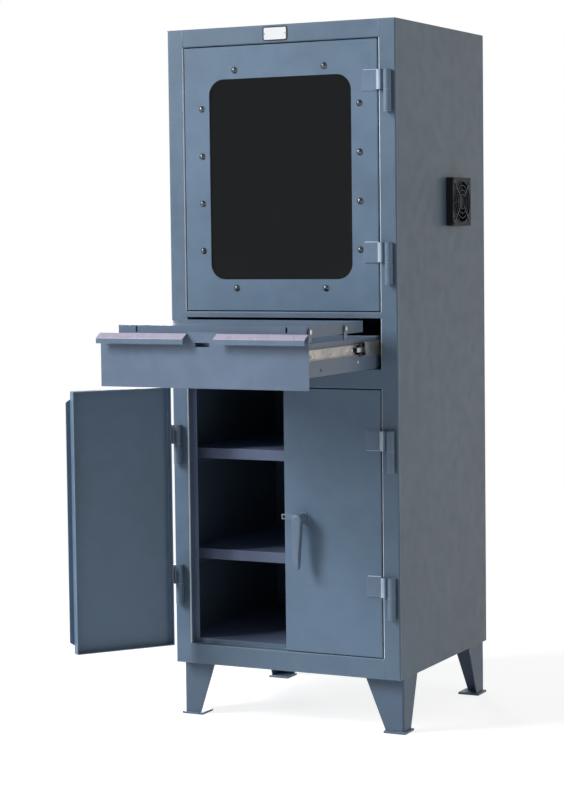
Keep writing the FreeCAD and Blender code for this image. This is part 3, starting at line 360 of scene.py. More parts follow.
# Turned or rolled steel, bare or zinc plated: a grey metal whose grain is
# drawn out along one way, and which is dulled where it has been handled.
def plated_steel(name, colour, dull, grain_way, roughness=0.3, grain=0.06):
    grain_long, grain_fine, grain_depth, handled = 30 * MM, 0.7 * MM, 0.2 * MM, 25 * MM
    material, tree = new_material(name)
    place = add_node(tree, "ShaderNodeTexCoord").outputs["Object"]
    scale = [1 / grain_long if axis == grain_way else 1 / grain_fine for axis in "XYZ"]
    drawn = add_node(tree, "ShaderNodeMapping", {"Scale": scale}, {"Vector": place})
    lines = add_node(tree, "ShaderNodeTexNoise", {"Scale": 1.0, "Detail": 2.0}, {"Vector": drawn.outputs[0]})
    marks = add_node(tree, "ShaderNodeTexNoise", {"Scale": 1 / handled, "Detail": 4.0}, {"Vector": place})
    tone = add_node(tree, "ShaderNodeMapRange", {"From Min": 0.4, "From Max": 0.66},
                    {"Value": marks.outputs[0]})
    colour_mix = add_node(tree, "ShaderNodeMix", {"data_type": "RGBA", 6: linear(colour), 7: linear(dull)},
                          {0: tone.outputs[0]})
    rough = add_node(tree, "ShaderNodeMapRange", {"From Min": 0.3, "From Max": 0.7,
                                                  "To Min": roughness - 0.06, "To Max": roughness + 0.1},
                     {"Value": lines.outputs[0]})
    bump = add_node(tree, "ShaderNodeBump", {"Strength": grain, "Distance": grain_depth},
                    {"Height": lines.outputs[0]})
    shader = add_node(tree, "ShaderNodeBsdfPrincipled", {"Metallic": 1.0},
                      {"Base Color": colour_mix.outputs[2], "Roughness": rough.outputs[0],
                       "Normal": bump.outputs[0]})
    add_node(tree, "ShaderNodeOutputMaterial", {}, {"Surface": shader.outputs[0]})
    return material


# The rivets are turned steel, left bare, as the hinges' pins are.
RIVET_RADIUS, RIVET_HEIGHT, RIVET_FROM_END = 1.7 * MM, 1.0 * MM, 6 * MM
pin_steel = plated_steel("turned_pin_steel", "#9fa3a8", "#83878d", "Z")
rivet_seat = frame_face - PLATE_THICKNESS + PLATE_STEP
plate_rivets = set_out(domed_head(RIVET_RADIUS, RIVET_HEIGHT), [
    ((PLATE_MIDDLE_X + side * (PLATE_WIDTH / 2 - RIVET_FROM_END), rivet_seat, PLATE_MIDDLE_Z), (0, -1, 0))
    for side in (-1, 1)])
one_piece(plate_rivets, "header_plate_rivets", pin_steel, "cabinet")

# ---------------------------------------------------------------------------
# Inside the shell: stop strips, two decks, the floor, shelf cleats and two
# shelves with turned-down lips. They get the same enamel, a thinner coat.
# ---------------------------------------------------------------------------
INSIDE_EDGE = 0.6 * MM
inside_enamel = satin_enamel("satin_enamel_inside", "#6a7693", roughness=0.5)
# Their edges get a paler copy, a painted highlight, with chips of dull steel.
inside_enamel_edge = satin_enamel("satin_enamel_inside_edge", "#8390a8", chips=0.34, roughness=0.46)
for fitting in ("door_stops", "upper_deck", "lower_deck", "cabinet_floor", "shelf_cleats",
                "shelf_lower", "shelf_upper"):
    finish_part(fitting, inside_enamel, inside_enamel_edge, INSIDE_EDGE)

# ---------------------------------------------------------------------------
# Four gusset legs, each an angle cut from plate, on square foot plates that
# are drilled for floor anchors. Welded, then painted with the cabinet.
# ---------------------------------------------------------------------------
LEG_EDGE = 1.0 * MM
leg_enamel = satin_enamel("satin_enamel_legs", "#5a6c81", roughness=0.46)
# Their edges get a paler copy, a painted highlight, with chips of dull steel.
leg_enamel_edge = satin_enamel("satin_enamel_legs_edge", "#8698ad", chips=0.42)
for corner in ("leg_front_left", "leg_front_right", "leg_rear_left", "leg_rear_right", "foot_plates"):
    finish_part(corner, leg_enamel, leg_enamel_edge, LEG_EDGE)

# ---------------------------------------------------------------------------
# The hinges: barrels welded to the stiles, strap leaves welded to the doors,
# and steel pins. The enamel runs over all of it but the pins' ends.
# ---------------------------------------------------------------------------
HINGE_EDGE = 0.9 * MM
hinge_enamel = satin_enamel("satin_enamel_hinges", "#6c8096", roughness=0.38)
# Their edges get a much paler copy, a painted highlight, with chips of dull steel.
hinge_enamel_edge = satin_enamel("satin_enamel_hinges_edge", "#a3b4c8", chips=0.40, roughness=0.34)
hinge_pieces = {}
for hinge in ("upper_hinge_barrels", "right_hinge_barrels", "left_hinge_barrels",
              "upper_hinge_leaves", "right_hinge_leaves", "left_hinge_leaves"):
    hinge_pieces[hinge] = finish_part(hinge, hinge_enamel, hinge_enamel_edge, HINGE_EDGE)
PIN_EDGE = 0.4 * MM
finish_part("hinge_pins", pin_steel, pin_steel, PIN_EDGE)


# An upright run of weld, laid in ripples and painted over. It's extruded ring
# by ring, and shaped once for all runs of its length. The first ring is a share
# of the radius, the next ones swell and shrink by the ripple, and the last one
# shrinks to a share of the ring before it.
def weld_bead(length, radius):
    pitch, start, ripple, end = 2.6 * MM, 0.55, 1.22, 0.6
    bpy.ops.object.select_all(action="DESELECT")
    bpy.ops.mesh.primitive_circle_add(vertices=8, radius=radius * start, fill_type="NGON")
    bead = bpy.context.object
    bpy.ops.object.mode_set(mode="EDIT")
    bpy.ops.mesh.select_all(action="SELECT")
    ripples = max(2, round(length / pitch))
    step = length / (2 * ripples)
    for ring in range(2 * ripples):
        bpy.ops.mesh.extrude_region_move(TRANSFORM_OT_translate={"value": (0, 0, step)})
        if ring < 2 * ripples - 1:
            growth = (1 / start if ring == 0 else ripple) if ring % 2 == 0 else 1 / ripple
        else:
            growth = end
        bpy.ops.transform.resize(value=(growth, growth, 1))
    bpy.ops.mesh.select_all(action="SELECT")
    bpy.ops.mesh.normals_make_consistent(inside=False)
    bpy.ops.object.mode_set(mode="OBJECT")
    bpy.ops.object.shade_smooth_by_angle(angle=math.radians(70))
    bead.data.transform(Matrix.Translation((0, 0, -length / 2)))
    return bead


BEAD_RADIUS = 2.0 * MM
LEAF_PLATE, LEAF_WELD_SHORT, LEAF_MIDDLE = 44 * MM, 4 * MM, 56 * MM
LEAF_LOW, LEAF_HIGH = 0.3 * MM, 55.3 * MM
BARREL_RADIUS, BARREL_MIDDLE, BARREL_WELD, PIN_RADIUS = 11 * MM, 30 * MM, 50 * MM, 6 * MM
WELD_PAD, PAD_WELD_PROUD = 10 * MM, 0.3 * MM
LEFT_DOOR_OPEN = math.radians(127)
# A hinge's level is the top of its lower barrel. Its leaf stands just above.
UPPER_HINGES, LOWER_HINGES = (1321.25 * MM, 1793.25 * MM), (392.25 * MM, 800.25 * MM)
along_x = Matrix.Rotation(math.radians(90), 4, "Y")
leaf_bead = weld_bead(LEAF_PLATE - LEAF_WELD_SHORT, BEAD_RADIUS)
barrel_bead = weld_bead(BARREL_WELD, BEAD_RADIUS)
# Enamel over a bead is wavy and glossy. Its paler colour is a painted highlight.
bead_enamel_painted_highlight = satin_enamel("enamel_over_weld_painted_highlight", "#c4d1de", roughness=0.3, peel=0.3, specular=0.5)
door_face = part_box("right_door_panel")[0].y
hinge_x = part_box("right_hinge_leaves")[1].x - BARREL_RADIUS
hinge_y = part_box("hinge_pins")[0].y + PIN_RADIUS
to_axis, from_axis = Matrix.Translation((hinge_x, -hinge_y, 0)), Matrix.Translation((-hinge_x, hinge_y, 0))
left_swing = from_axis @ Matrix.Rotation(-LEFT_DOOR_OPEN, 4, "Z") @ to_axis

# The crown of each leaf's bow gets a pale enamel, a painted highlight.
BOW_MIDDLE, BOW_HALF, CROWN_DEPTH = 22 * MM, 9 * MM, 9.6 * MM
painted_highlight_crown = satin_enamel("painted_highlight_on_crowns", "#b4c4d6", roughness=0.28, specular=0.5)
for leaves, unswing in (("upper_hinge_leaves", Matrix()), ("right_hinge_leaves", Matrix()),
                        ("left_hinge_leaves", left_swing.inverted())):
    leaf = hinge_pieces[leaves]
    leaf.data.materials.append(painted_highlight_crown)
    for face in leaf.data.polygons:
        closed = unswing @ face.center
        if abs(abs(closed.x) - (hinge_x - BOW_MIDDLE)) < BOW_HALF and closed.y < hinge_y - CROWN_DEPTH:
            face.material_index = len(leaf.data.materials) - 1

# A leaf is welded to its door along both long edges, and a barrel to its
# stile along both edges of the pad behind it.
for body, levels, side, swing in (("upper_door", UPPER_HINGES, 1, Matrix()),
                                  ("right_door", LOWER_HINGES, 1, Matrix()),
                                  ("left_door", LOWER_HINGES, -1, left_swing)):
    beads = []
    for level in levels:
        for edge in (LEAF_LOW, LEAF_HIGH):
            middle = Vector((side * (hinge_x - LEAF_MIDDLE), door_face, level + edge))
            beads.append(placed_copy(leaf_bead, swing @ Matrix.Translation(middle) @ along_x))
    one_piece(beads, "leaf_welds_" + body, bead_enamel_painted_highlight, body)
beads = []
for levels, sides in ((UPPER_HINGES, (1,)), (LOWER_HINGES, (-1, 1))):
    for level in levels:
        for side in sides:
            for edge in (-1, 1):
                middle = Vector((side * hinge_x + edge * WELD_PAD / 2, door_face - PAD_WELD_PROUD,
                                 level - BARREL_MIDDLE))
                beads.append(placed_copy(barrel_bead, Matrix.Translation(middle)))
one_piece(beads, "barrel_welds", bead_enamel_painted_highlight, "cabinet")
bpy.data.objects.remove(leaf_bead)
bpy.data.objects.remove(barrel_bead)

# ---------------------------------------------------------------------------
# The upper door: one pan-folded sheet with a round-cornered window, and a
# smoked polycarbonate pane behind it, held by twelve dome-head bolts.
# ---------------------------------------------------------------------------
DOOR_EDGE, PANE_EDGE, BOLT_EDGE = 0.8 * MM, 0.5 * MM, 0.3 * MM
door_enamel = satin_enamel("satin_enamel_doors", "#647b92")
# Their edges get a paler copy, a painted highlight, with chips of dull steel.
door_enamel_edge = satin_enamel("satin_enamel_doors_edge", "#8799ae", chips=0.38)
finish_part("upper_door_panel", door_enamel, door_enamel_edge, DOOR_EDGE)

# Smoked polycarbonate, extruded and polished: nearly black from outside, with
# a sharp sheen and faint wiping marks.
WIPE_ACROSS, WIPE_DOWN = 200 * MM, 30 * MM
smoked_pane, tree = new_material("smoked_polycarbonate")
place = add_node(tree, "ShaderNodeTexCoord").outputs["Object"]
wiping = add_node(tree, "ShaderNodeMapping", {"Scale": (1 / WIPE_ACROSS, 1 / WIPE_ACROSS, 1 / WIPE_DOWN)},
                  {"Vector": place})
smear = add_node(tree, "ShaderNodeTexNoise", {"Scale": 1.0, "Detail": 5.0}, {"Vector": wiping.outputs[0]})
haze = add_node(tree, "ShaderNodeMapRange", {"From Min": 0.45, "From Max": 0.75,
                                             "To Min": 0.03, "To Max": 0.10}, {"Value": smear.outputs[0]})
shader = add_node(tree, "ShaderNodeBsdfPrincipled",
                  {"Base Color": linear("#4a5258"), "Transmission Weight": 1.0, "IOR": 1.58},
                  {"Roughness": haze.outputs[0]})
add_node(tree, "ShaderNodeOutputMaterial", {}, {"Surface": shader.outputs[0]})
finish_part("window_pane", smoked_pane, smoked_pane, PANE_EDGE)

# Cold-headed steel bolts in blackened zinc: dark, with a soft metal gleam.
bolt_zinc = plated_steel("blackened_zinc_bolt", "#6f7377", "#4c5054", "Y", roughness=0.30, grain=0.03)
finish_part("window_bolts", bolt_zinc, bolt_zinc, BOLT_EDGE)

# ---------------------------------------------------------------------------
# The lower doors: two pan-folded sheets and the astragal strip that is welded
# to the left one, over which the right one closes.
# ---------------------------------------------------------------------------
for sheet in ("right_door_panel", "left_door_panel", "astragal"):
    finish_part(sheet, door_enamel, door_enamel_edge, DOOR_EDGE)

# ---------------------------------------------------------------------------
# The latch: a cast lever with a padlock lug, its boss on the door, the cam
# and two round rods with flat feet, in guides on the door's back.
# ---------------------------------------------------------------------------
BOSS_EDGE, ROD_EDGE = 1.2 * MM, 0.4 * MM
cast_enamel = satin_enamel("enamel_on_casting", "#6b7e93", roughness=0.34, peel=0.5, specular=0.5)
# Its edges get a paler copy, a painted highlight, with chips of dull steel.
cast_enamel_edge = satin_enamel("enamel_on_casting_edge", "#8b9bb0", chips=0.40, roughness=0.32, peel=0.5)
finish_part("handle_escutcheon", cast_enamel, cast_enamel_edge, BOSS_EDGE)

# The lever is one casting. Its grip tapers to a blunt end and a thick neck
# runs back to the boss. The lug beside the neck has the shackle's hole. A row
# of GRIP is a section's height over the hub, shift, width and depth, in mm.
boss_low, boss_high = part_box("handle_escutcheon")
pivot = Vector(((boss_low.x + boss_high.x) / 2, boss_high.y, (boss_low.z + boss_high.z) / 2))
lever_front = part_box("handle_lever")[0].y
GRIP_DEPTH, GRIP_ROUNDING = 20 * MM, 5.5 * MM
HEIGHT, SHIFT, WIDTH, DEPTH = range(4)
GRIP = ((13.5, 0, 9, 8), (11, -1, 19, 15), (5, -2, 26, 19), (-8, -3, 28, 20), (-40, -4, 26, 20),
        (-60, -4.5, 24, 20), (-80, -5, 21.5, 20), (-103, -5.5, 18.5, 20), (-124, -4.5, 16, 18.5),
        (-138, -3, 11, 14), (-144, -2, 5, 7))
top = GRIP[0]
grip_middle = Vector((pivot.x, lever_front + GRIP_DEPTH / 2, pivot.z))
bpy.ops.object.select_all(action="DESELECT")
bpy.ops.mesh.primitive_plane_add(size=1, location=grip_middle + Vector((top[SHIFT], 0, top[HEIGHT])) * MM)
grip = bpy.context.object
grip.scale = (top[WIDTH] * MM, top[DEPTH] * MM, 1)
bpy.ops.object.transform_apply(location=True, rotation=True, scale=True)
bpy.ops.object.mode_set(mode="EDIT")
bpy.ops.mesh.select_all(action="SELECT")
for above, below in zip(GRIP, GRIP[1:]):
    drop = ((below[SHIFT] - above[SHIFT]) * MM, 0, (below[HEIGHT] - above[HEIGHT]) * MM)
    bpy.ops.mesh.extrude_region_move(TRANSFORM_OT_translate={"value": drop})
    bpy.ops.transform.resize(value=(below[WIDTH] / above[WIDTH], below[DEPTH] / above[DEPTH], 1))
bpy.ops.mesh.select_all(action="SELECT")
bpy.ops.mesh.normals_make_consistent(inside=False)
bpy.ops.object.mode_set(mode="OBJECT")
softened = grip.modifiers.new("pattern_draft", "BEVEL")
softened.width = GRIP_ROUNDING
softened.segments = 4
softened.limit_method = "ANGLE"
softened.angle_limit = math.radians(55)
bpy.ops.object.modifier_apply(modifier=softened.name)

# A row of NECK is a ring's distance from the door's face and its radius, in mm.
NECK = ((4.1, 13.5), (10, 13.5), (24, 13.5), (40, 13.5), (46, 12.5), (48.5, 9.0))
neck_start, neck_radius = NECK[0]
bpy.ops.object.select_all(action="DESELECT")
bpy.ops.mesh.primitive_circle_add(vertices=40, radius=neck_radius * MM, fill_type="NGON")
neck = bpy.context.object
bpy.ops.object.mode_set(mode="EDIT")
bpy.ops.mesh.select_all(action="SELECT")
for (inner_out, inner_radius), (outer_out, outer_radius) in zip(NECK, NECK[1:]):
    bpy.ops.mesh.extrude_region_move(TRANSFORM_OT_translate={"value": (0, 0, (outer_out - inner_out) * MM)})
    bpy.ops.transform.resize(value=(outer_radius / inner_radius, outer_radius / inner_radius, 1))
bpy.ops.mesh.select_all(action="SELECT")
bpy.ops.mesh.normals_make_consistent(inside=False)
bpy.ops.object.mode_set(mode="OBJECT")
neck.rotation_euler = (math.radians(90), 0, 0)
neck.location = pivot - Vector((0, neck_start * MM, 0))
bpy.ops.object.transform_apply(location=True, rotation=True, scale=True)

# The lug's corners and its hole's middle are given from the pivot, in mm.
LUG_LOW, LUG_HIGH, LUG_EASE = (-49.5, -47, -2), (0, -41, 14), 2.0 * MM
HOLE_MIDDLE, HOLE_RADIUS, DRILL_LENGTH = (-40.5, -44, 6), 4.5 * MM, 20 * MM
lug = sawn_block(pivot + Vector(LUG_LOW) * MM, pivot + Vector(LUG_HIGH) * MM, LUG_EASE, 3)
bpy.ops.object.select_all(action="DESELECT")
bpy.ops.mesh.primitive_cylinder_add(vertices=32, radius=HOLE_RADIUS, depth=DRILL_LENGTH,
                                    location=pivot + Vector(HOLE_MIDDLE) * MM,
                                    rotation=(math.radians(90), 0, 0))
drill = bpy.context.object
bpy.ops.object.select_all(action="DESELECT")
lug.select_set(True)
bpy.context.view_layer.objects.active = lug
drilled = lug.modifiers.new("shackle_hole", "BOOLEAN")
drilled.operation = "DIFFERENCE"
drilled.solver = "EXACT"
drilled.object = drill
bpy.ops.object.modifier_apply(modifier=drilled.name)
bpy.data.objects.remove(drill)

# Poured as one, the three parts melt together, and a file takes off the flash.
CAST_GRAIN, FILE_STROKES = 1.1 * MM, 6
lever = one_piece([grip, neck, lug], "cast_handle_lever", cast_enamel, "handle")
poured = lever.modifiers.new("one_casting", "REMESH")
poured.mode = "VOXEL"
poured.voxel_size = CAST_GRAIN
bpy.ops.object.modifier_apply(modifier=poured.name)
fettled = lever.modifiers.new("fettled", "SMOOTH")
fettled.factor = 0.5
fettled.iterations = FILE_STROKES
bpy.ops.object.modifier_apply(modifier=fettled.name)
bpy.ops.object.shade_smooth()
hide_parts("handle_lever")

# Cold-rolled steel, left bare: darker than zinc, with a dull drawn grain.
rolled_steel = plated_steel("cold_rolled_steel", "#85888c", "#6b6e72", "Z", roughness=0.4, grain=0.1)
for work in ("handle_cam", "latch_rod_top", "latch_rod_bottom", "rod_guides"):
    finish_part(work, rolled_steel, rolled_steel, ROD_EDGE)

# ---------------------------------------------------------------------------
# The drawer: a front folded with two rolled pull lips and a slot between
# them, on a light box of bottom, sides and ends, spot-welded and painted.
# ---------------------------------------------------------------------------
DRAWER_EDGE, STUD_EDGE = 0.5 * MM, 0.3 * MM
drawer_enamel = satin_enamel("satin_enamel_drawer", "#6d7f96", roughness=0.36)
# Its edges get a paler copy, a painted highlight, with chips of dull steel.
drawer_enamel_edge = satin_enamel("satin_enamel_drawer_edge", "#92a1b8", chips=0.36, roughness=0.34)
for sheet in ("drawer_bottom", "drawer_sides", "drawer_ends"):
    finish_part(sheet, drawer_enamel, drawer_enamel_edge, DRAWER_EDGE)

# The slope of the two lips gets a glossier enamel in a pale lavender, which is
# a painted reflection of the light above. The slope faces up and forward.
SLOPE_UP, SLOPE_FORWARD = 0.4, 0.1
painted_reflection_lip = satin_enamel("lip_enamel_painted_reflection", "#aea6bd", roughness=0.27, specular=0.5)
front = finish_part("drawer_front", drawer_enamel, drawer_enamel_edge, DRAWER_EDGE)
front.data.materials.append(painted_reflection_lip)
for face in front.data.polygons:
    if face.normal.z > SLOPE_UP and face.normal.y < -SLOPE_FORWARD:
        face.material_index = len(front.data.materials) - 1

# Turned steel in bright zinc: pale and fairly sharp in its gleam.
stud_zinc = plated_steel("zinc_plated_stud", "#c0c2c6", "#94979c", "X", roughness=0.28)
finish_part("drawer_studs", stud_zinc, stud_zinc, STUD_EDGE)

# ---------------------------------------------------------------------------
# The slides: three rolled members a side, nested on ball races, zinc plated,
# with the outer ones on painted brackets.
# ---------------------------------------------------------------------------
MEMBER_EDGE, BRACKET_EDGE = 0.3 * MM, 0.5 * MM
# The members' zinc is a warm grey, with its grain along their length.
slide_zinc = plated_steel("bright_zinc_slide", "#aba7a2", "#8f8c89", "Y", roughness=0.34, grain=0.08)
for member in ("slide_outer_members", "slide_middle_members", "slide_inner_members"):
    finish_part(member, slide_zinc, slide_zinc, MEMBER_EDGE)

# Screws hold the inner members to the box, and more stand in its sides below.
# Some are bright zinc and some are blackened. A row gives the heads' radius,
# height and socket, and then their places. All of it is in mm.
MEMBER_SHEET = 1.2
side_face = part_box("drawer_sides")[1].x / MM
web_face = side_face + MEMBER_SHEET
screw_zinc = plated_steel("bright_zinc_screw", "#e4e6e8", "#b4b7bb", "X", roughness=0.18)
for name, finish, radius, height, socket, places in (
        ("slide_fixing_screws", screw_zinc, 3.6, 1.8, 0.9,
         ((web_face, -753.7, 1082.9), (web_face, -536.4, 1086.8), (web_face, -504.2, 1086.4))),
        ("slide_black_screws", bolt_zinc, 2.4, 0.9, 0.5,
         ((web_face, -765.7, 1083.6), (web_face, -643.8, 1083.3))),
        ("box_bright_screws", screw_zinc, 4.0, 1.8, 0.9, ((side_face, -463.2, 1052.9),)),
        ("box_small_screws", screw_zinc, 2.2, 1.2, 0.6, ((side_face, -766.0, 1070.6),)),
        ("box_black_screws", bolt_zinc, 4.0, 1.8, 0.9, ((side_face, -697.7, 1044.3),))):
    heads = set_out(domed_head(radius * MM, height * MM, socket * MM), [
        (Vector((side * x, y, z)) * MM, (side, 0, 0)) for side in (-1, 1) for x, y, z in places])
    one_piece(heads, name, finish, "drawer")

# Each middle member carries two rows of steel balls in pressed cages, which
# lie in the races round the inner member. A ball is rolled and ground round.
BALL_RACE, BALL_PITCH, BALLS = 3.6 * MM, 14 * MM, 6
CAGE_WIDTH, CAGE_SHEET, CAGE_EASE = 5.2 * MM, 0.8 * MM, 0.15 * MM
RACE_FROM_SIDE, CAGE_FROM_END = 5.2 * MM, 4 * MM
inner_low, inner_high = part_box("slide_inner_members")
slide_middle_z = (inner_low.z + inner_high.z) / 2
race_x = side_face * MM + RACE_FROM_SIDE
race_z = (inner_high.z - inner_low.z) / 2 + BALL_RACE / 2
cage_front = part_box("slide_middle_members")[0].y + CAGE_FROM_END
bpy.ops.object.select_all(action="DESELECT")
bpy.ops.mesh.primitive_cube_add(size=BALL_RACE)
ball = bpy.context.object
rolled = ball.modifiers.new("rolled", "SUBSURF")
rolled.levels = rolled.render_levels = 2
bpy.ops.object.modifier_apply(modifier=rolled.name)
ground = ball.modifiers.new("ground_true", "CAST")
ground.factor = 1.0
ground.size = BALL_RACE / 2
bpy.ops.object.modifier_apply(modifier=ground.name)
bpy.ops.object.shade_smooth()
cage = sawn_block((-CAGE_WIDTH / 2, 0, -CAGE_SHEET / 2),
                  (CAGE_WIDTH / 2, BALLS * BALL_PITCH, CAGE_SHEET / 2), CAGE_EASE)
rows = [Matrix.Translation((side * race_x, cage_front, slide_middle_z + level * race_z))
        for side in (-1, 1) for level in (-1, 1)]
balls = [placed_copy(ball, row @ Matrix.Translation((0, (number + 0.5) * BALL_PITCH, 0)))
         for row in rows for number in range(BALLS)]
cages = [placed_copy(cage, row) for row in rows]
bpy.data.objects.remove(ball)
bpy.data.objects.remove(cage)
# The balls are polished bare steel. The cages are pressed from plated strip.
ball_steel = plated_steel("polished_ball_steel", "#d9dbde", "#c3c5c9", "Y", roughness=0.12, grain=0.0)
one_piece(balls, "slide_balls", ball_steel, "slide_middle")
cage_zinc = plated_steel("pressed_cage_zinc", "#aeb1b4", "#93969a", "Y", roughness=0.28)
one_piece(cages, "slide_ball_cages", cage_zinc, "slide_middle")


# Moulded nylon is near black, with a spark-eroded grain that scatters light.
def moulded_nylon(name, colour, roughness=0.55, grain=0.35):
    eroded, pit_depth, flow = 0.9 * MM, 0.2 * MM, 18 * MM
    material, tree = new_material(name)
    place = add_node(tree, "ShaderNodeTexCoord").outputs["Object"]
    pits = add_node(tree, "ShaderNodeTexNoise", {"Scale": 1 / eroded, "Detail": 2.0}, {"Vector": place})
    swirl = add_node(tree, "ShaderNodeTexNoise", {"Scale": 1 / flow, "Detail": 3.0, "Distortion": 0.8},
                     {"Vector": place})
    base = linear(colour)
    lighter = [min(1.0, c * 1.5) for c in base[:3]] + [1.0]
    colour_mix = add_node(tree, "ShaderNodeMix", {"data_type": "RGBA", 6: base, 7: lighter},
                          {0: swirl.outputs[0]})
    rough = add_node(tree, "ShaderNodeMapRange", {"To Min": roughness - 0.1, "To Max": roughness + 0.12},
                     {"Value": swirl.outputs[0]})
    bump = add_node(tree, "ShaderNodeBump", {"Strength": grain, "Distance": pit_depth},
                    {"Height": pits.outputs[0]})
    shader = add_node(tree, "ShaderNodeBsdfPrincipled", {"Specular IOR Level": 0.22},
                      {"Base Color": colour_mix.outputs[2], "Roughness": rough.outputs[0],
                       "Normal": bump.outputs[0]})
    add_node(tree, "ShaderNodeOutputMaterial", {}, {"Surface": shader.outputs[0]})
    return material


# A black nylon latch with two arms stands on a pale steel retainer at each
# middle member's front end, with a tab of the retainer between the arms. Each
# outline is front and rear, then bottom and top, in mm.
LATCH_INSIDE, LATCH_OUTSIDE, LATCH_EASE = 298.9 * MM, 300.4 * MM, 0.6 * MM
RETAINER_INSIDE, RETAINER_OUTSIDE = 298.1 * MM, 299.7 * MM
UPPER_ARM, LOWER_ARM = (-477.0, -441.0, 1094.0, 1105.5), (-477.5, -441.5, 1069.5, 1079.5)
SPINE = (-457.0, -441.5, 1069.5, 1104.5)
RETAINER_TAB, RETAINER = (-490.0, -449.0, 1080.0, 1092.5), (-450.5, -431.5, 1067.5, 1096.0)
latch_nylon = moulded_nylon("moulded_nylon_latch", "#15181c")
for name, finish, inside, outside, slot, plates in (
        ("slide_latches", latch_nylon, LATCH_INSIDE, LATCH_OUTSIDE, "fan_plastic",
         (UPPER_ARM, LOWER_ARM, SPINE)),
        ("slide_latch_retainers", cage_zinc, RETAINER_INSIDE, RETAINER_OUTSIDE, "zinc_plate",
         (RETAINER_TAB, RETAINER))):
    blocks = []
    for front_y, rear_y, low_z, high_z in plates:
        part = sawn_block((inside, front_y * MM, low_z * MM), (outside, rear_y * MM, high_z * MM),
                          LATCH_EASE, 3)
        blocks += [part, placed_copy(part, Matrix.Translation((-inside - outside, 0, 0)))]
    one_piece(blocks, name, finish, "slide_middle")
finish_part("slide_brackets", inside_enamel, inside_enamel_edge, BRACKET_EDGE)

# ---------------------------------------------------------------------------
# The keyboard tray: a folded sheet on four plated links, which fold it down
# into the drawer, each on a riveted stud.
# ---------------------------------------------------------------------------
LINK_EDGE = 0.3 * MM
finish_part("keyboard_tray", drawer_enamel, drawer_enamel_edge, DRAWER_EDGE)

# The studs are bright zinc. The zinc on the straps has gone dull and bluish.
link_zinc = plated_steel("bright_zinc_rivet", "#c8cacd", "#a2a5a9", "X", roughness=0.2)
link_dull = plated_steel("dulled_zinc_strap", "#77808b", "#5f6873", "Z", roughness=0.46)
for strap in ("tray_links_front", "tray_links_rear"):
    finish_part(strap, link_dull, link_dull, LINK_EDGE)
finish_part("tray_studs", link_zinc, link_zinc, LINK_EDGE)

# ---------------------------------------------------------------------------
# The fan: a moulded glass-filled nylon frame and rotor, with a welded guard
# of black coated wire over them.
# ---------------------------------------------------------------------------
FAN_EDGE, FAN_SCREW_SPREAD = 0.4 * MM, 116 * MM
FAN_HEAD_RADIUS, FAN_HEAD_HEIGHT, FAN_HEAD_SOCKET = 4.2 * MM, 1.9 * MM, 0.9 * MM
fan_nylon = moulded_nylon("moulded_nylon_fan", "#161b21")
for moulding in ("fan_housing", "fan_rotor"):
    finish_part(moulding, fan_nylon, fan_nylon, FAN_EDGE)

# Steel wire dipped in black plastic: smoother than the moulding, a little shiny.
guard_coat = moulded_nylon("dipped_wire_coat", "#1f252c", roughness=0.42, grain=0.1)
finish_part("fan_guard", guard_coat, guard_coat, 0.0)
fan_low, fan_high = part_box("fan_housing")
fan_corners = [(fan_high.x, (fan_low.y + fan_high.y + along * FAN_SCREW_SPREAD) / 2,
                (fan_low.z + fan_high.z + up * FAN_SCREW_SPREAD) / 2) for along in (-1, 1) for up in (-1, 1)]
fan_screws = set_out(domed_head(FAN_HEAD_RADIUS, FAN_HEAD_HEIGHT, FAN_HEAD_SOCKET),
                     [(corner, (1, 0, 0)) for corner in fan_corners])
one_piece(fan_screws, "fan_screws", bolt_zinc, "cabinet")

# ---------------------------------------------------------------------------
# The stage: a pale floor under the cabinet that keeps its shadow, and an even
# white surround. They aren't part of the object.
# ---------------------------------------------------------------------------
FLOOR_REACH = 60.0
FLOOR_GLOW = 0.82
FLOOR_FADE_FROM = 0.9
FLOOR_FADE_TO = 3.0
bpy.ops.object.select_all(action="DESELECT")
bpy.ops.mesh.primitive_plane_add(size=FLOOR_REACH, location=(0, 0, 0))
floor = bpy.context.object
floor.name = "studio_floor"
pale_floor, tree = new_material("pale_studio_floor")
light_path = add_node(tree, "ShaderNodeLightPath")
seen = add_node(tree, "ShaderNodeMath", {"operation": "MAXIMUM"},
                {0: light_path.outputs["Is Camera Ray"], 1: light_path.outputs["Is Transmission Ray"]})
seen = add_node(tree, "ShaderNodeMath", {"operation": "MAXIMUM"},
                {0: seen.outputs[0], 1: light_path.outputs["Is Glossy Ray"]})
matt = add_node(tree, "ShaderNodeBsdfDiffuse", {"Color": (0.7, 0.7, 0.7, 1.0)})
matt_thin = add_node(tree, "ShaderNodeBsdfDiffuse", {"Color": (0.42, 0.42, 0.42, 1.0)})
glow = add_node(tree, "ShaderNodeEmission", {"Color": (1.0, 1.0, 1.0, 1.0), "Strength": FLOOR_GLOW})
near = add_node(tree, "ShaderNodeAddShader", {}, {0: matt_thin.outputs[0], 1: glow.outputs[0]})
far = add_node(tree, "ShaderNodeEmission", {"Color": (1.0, 1.0, 1.0, 1.0), "Strength": 1.0})
spot = add_node(tree, "ShaderNodeVectorMath", {"operation": "LENGTH"},
                {0: add_node(tree, "ShaderNodeTexCoord").outputs["Object"]})
fade = add_node(tree, "ShaderNodeMapRange", {"From Min": FLOOR_FADE_FROM, "From Max": FLOOR_FADE_TO},
                {"Value": spot.outputs["Value"]})
shown = add_node(tree, "ShaderNodeMixShader", {}, {0: fade.outputs[0], 1: near.outputs[0], 2: far.outputs[0]})
either = add_node(tree, "ShaderNodeMixShader", {},
                  {0: seen.outputs[0], 1: matt.outputs[0], 2: shown.outputs[0]})
add_node(tree, "ShaderNodeOutputMaterial", {}, {"Surface": either.outputs[0]})
floor.data.materials.append(pale_floor)

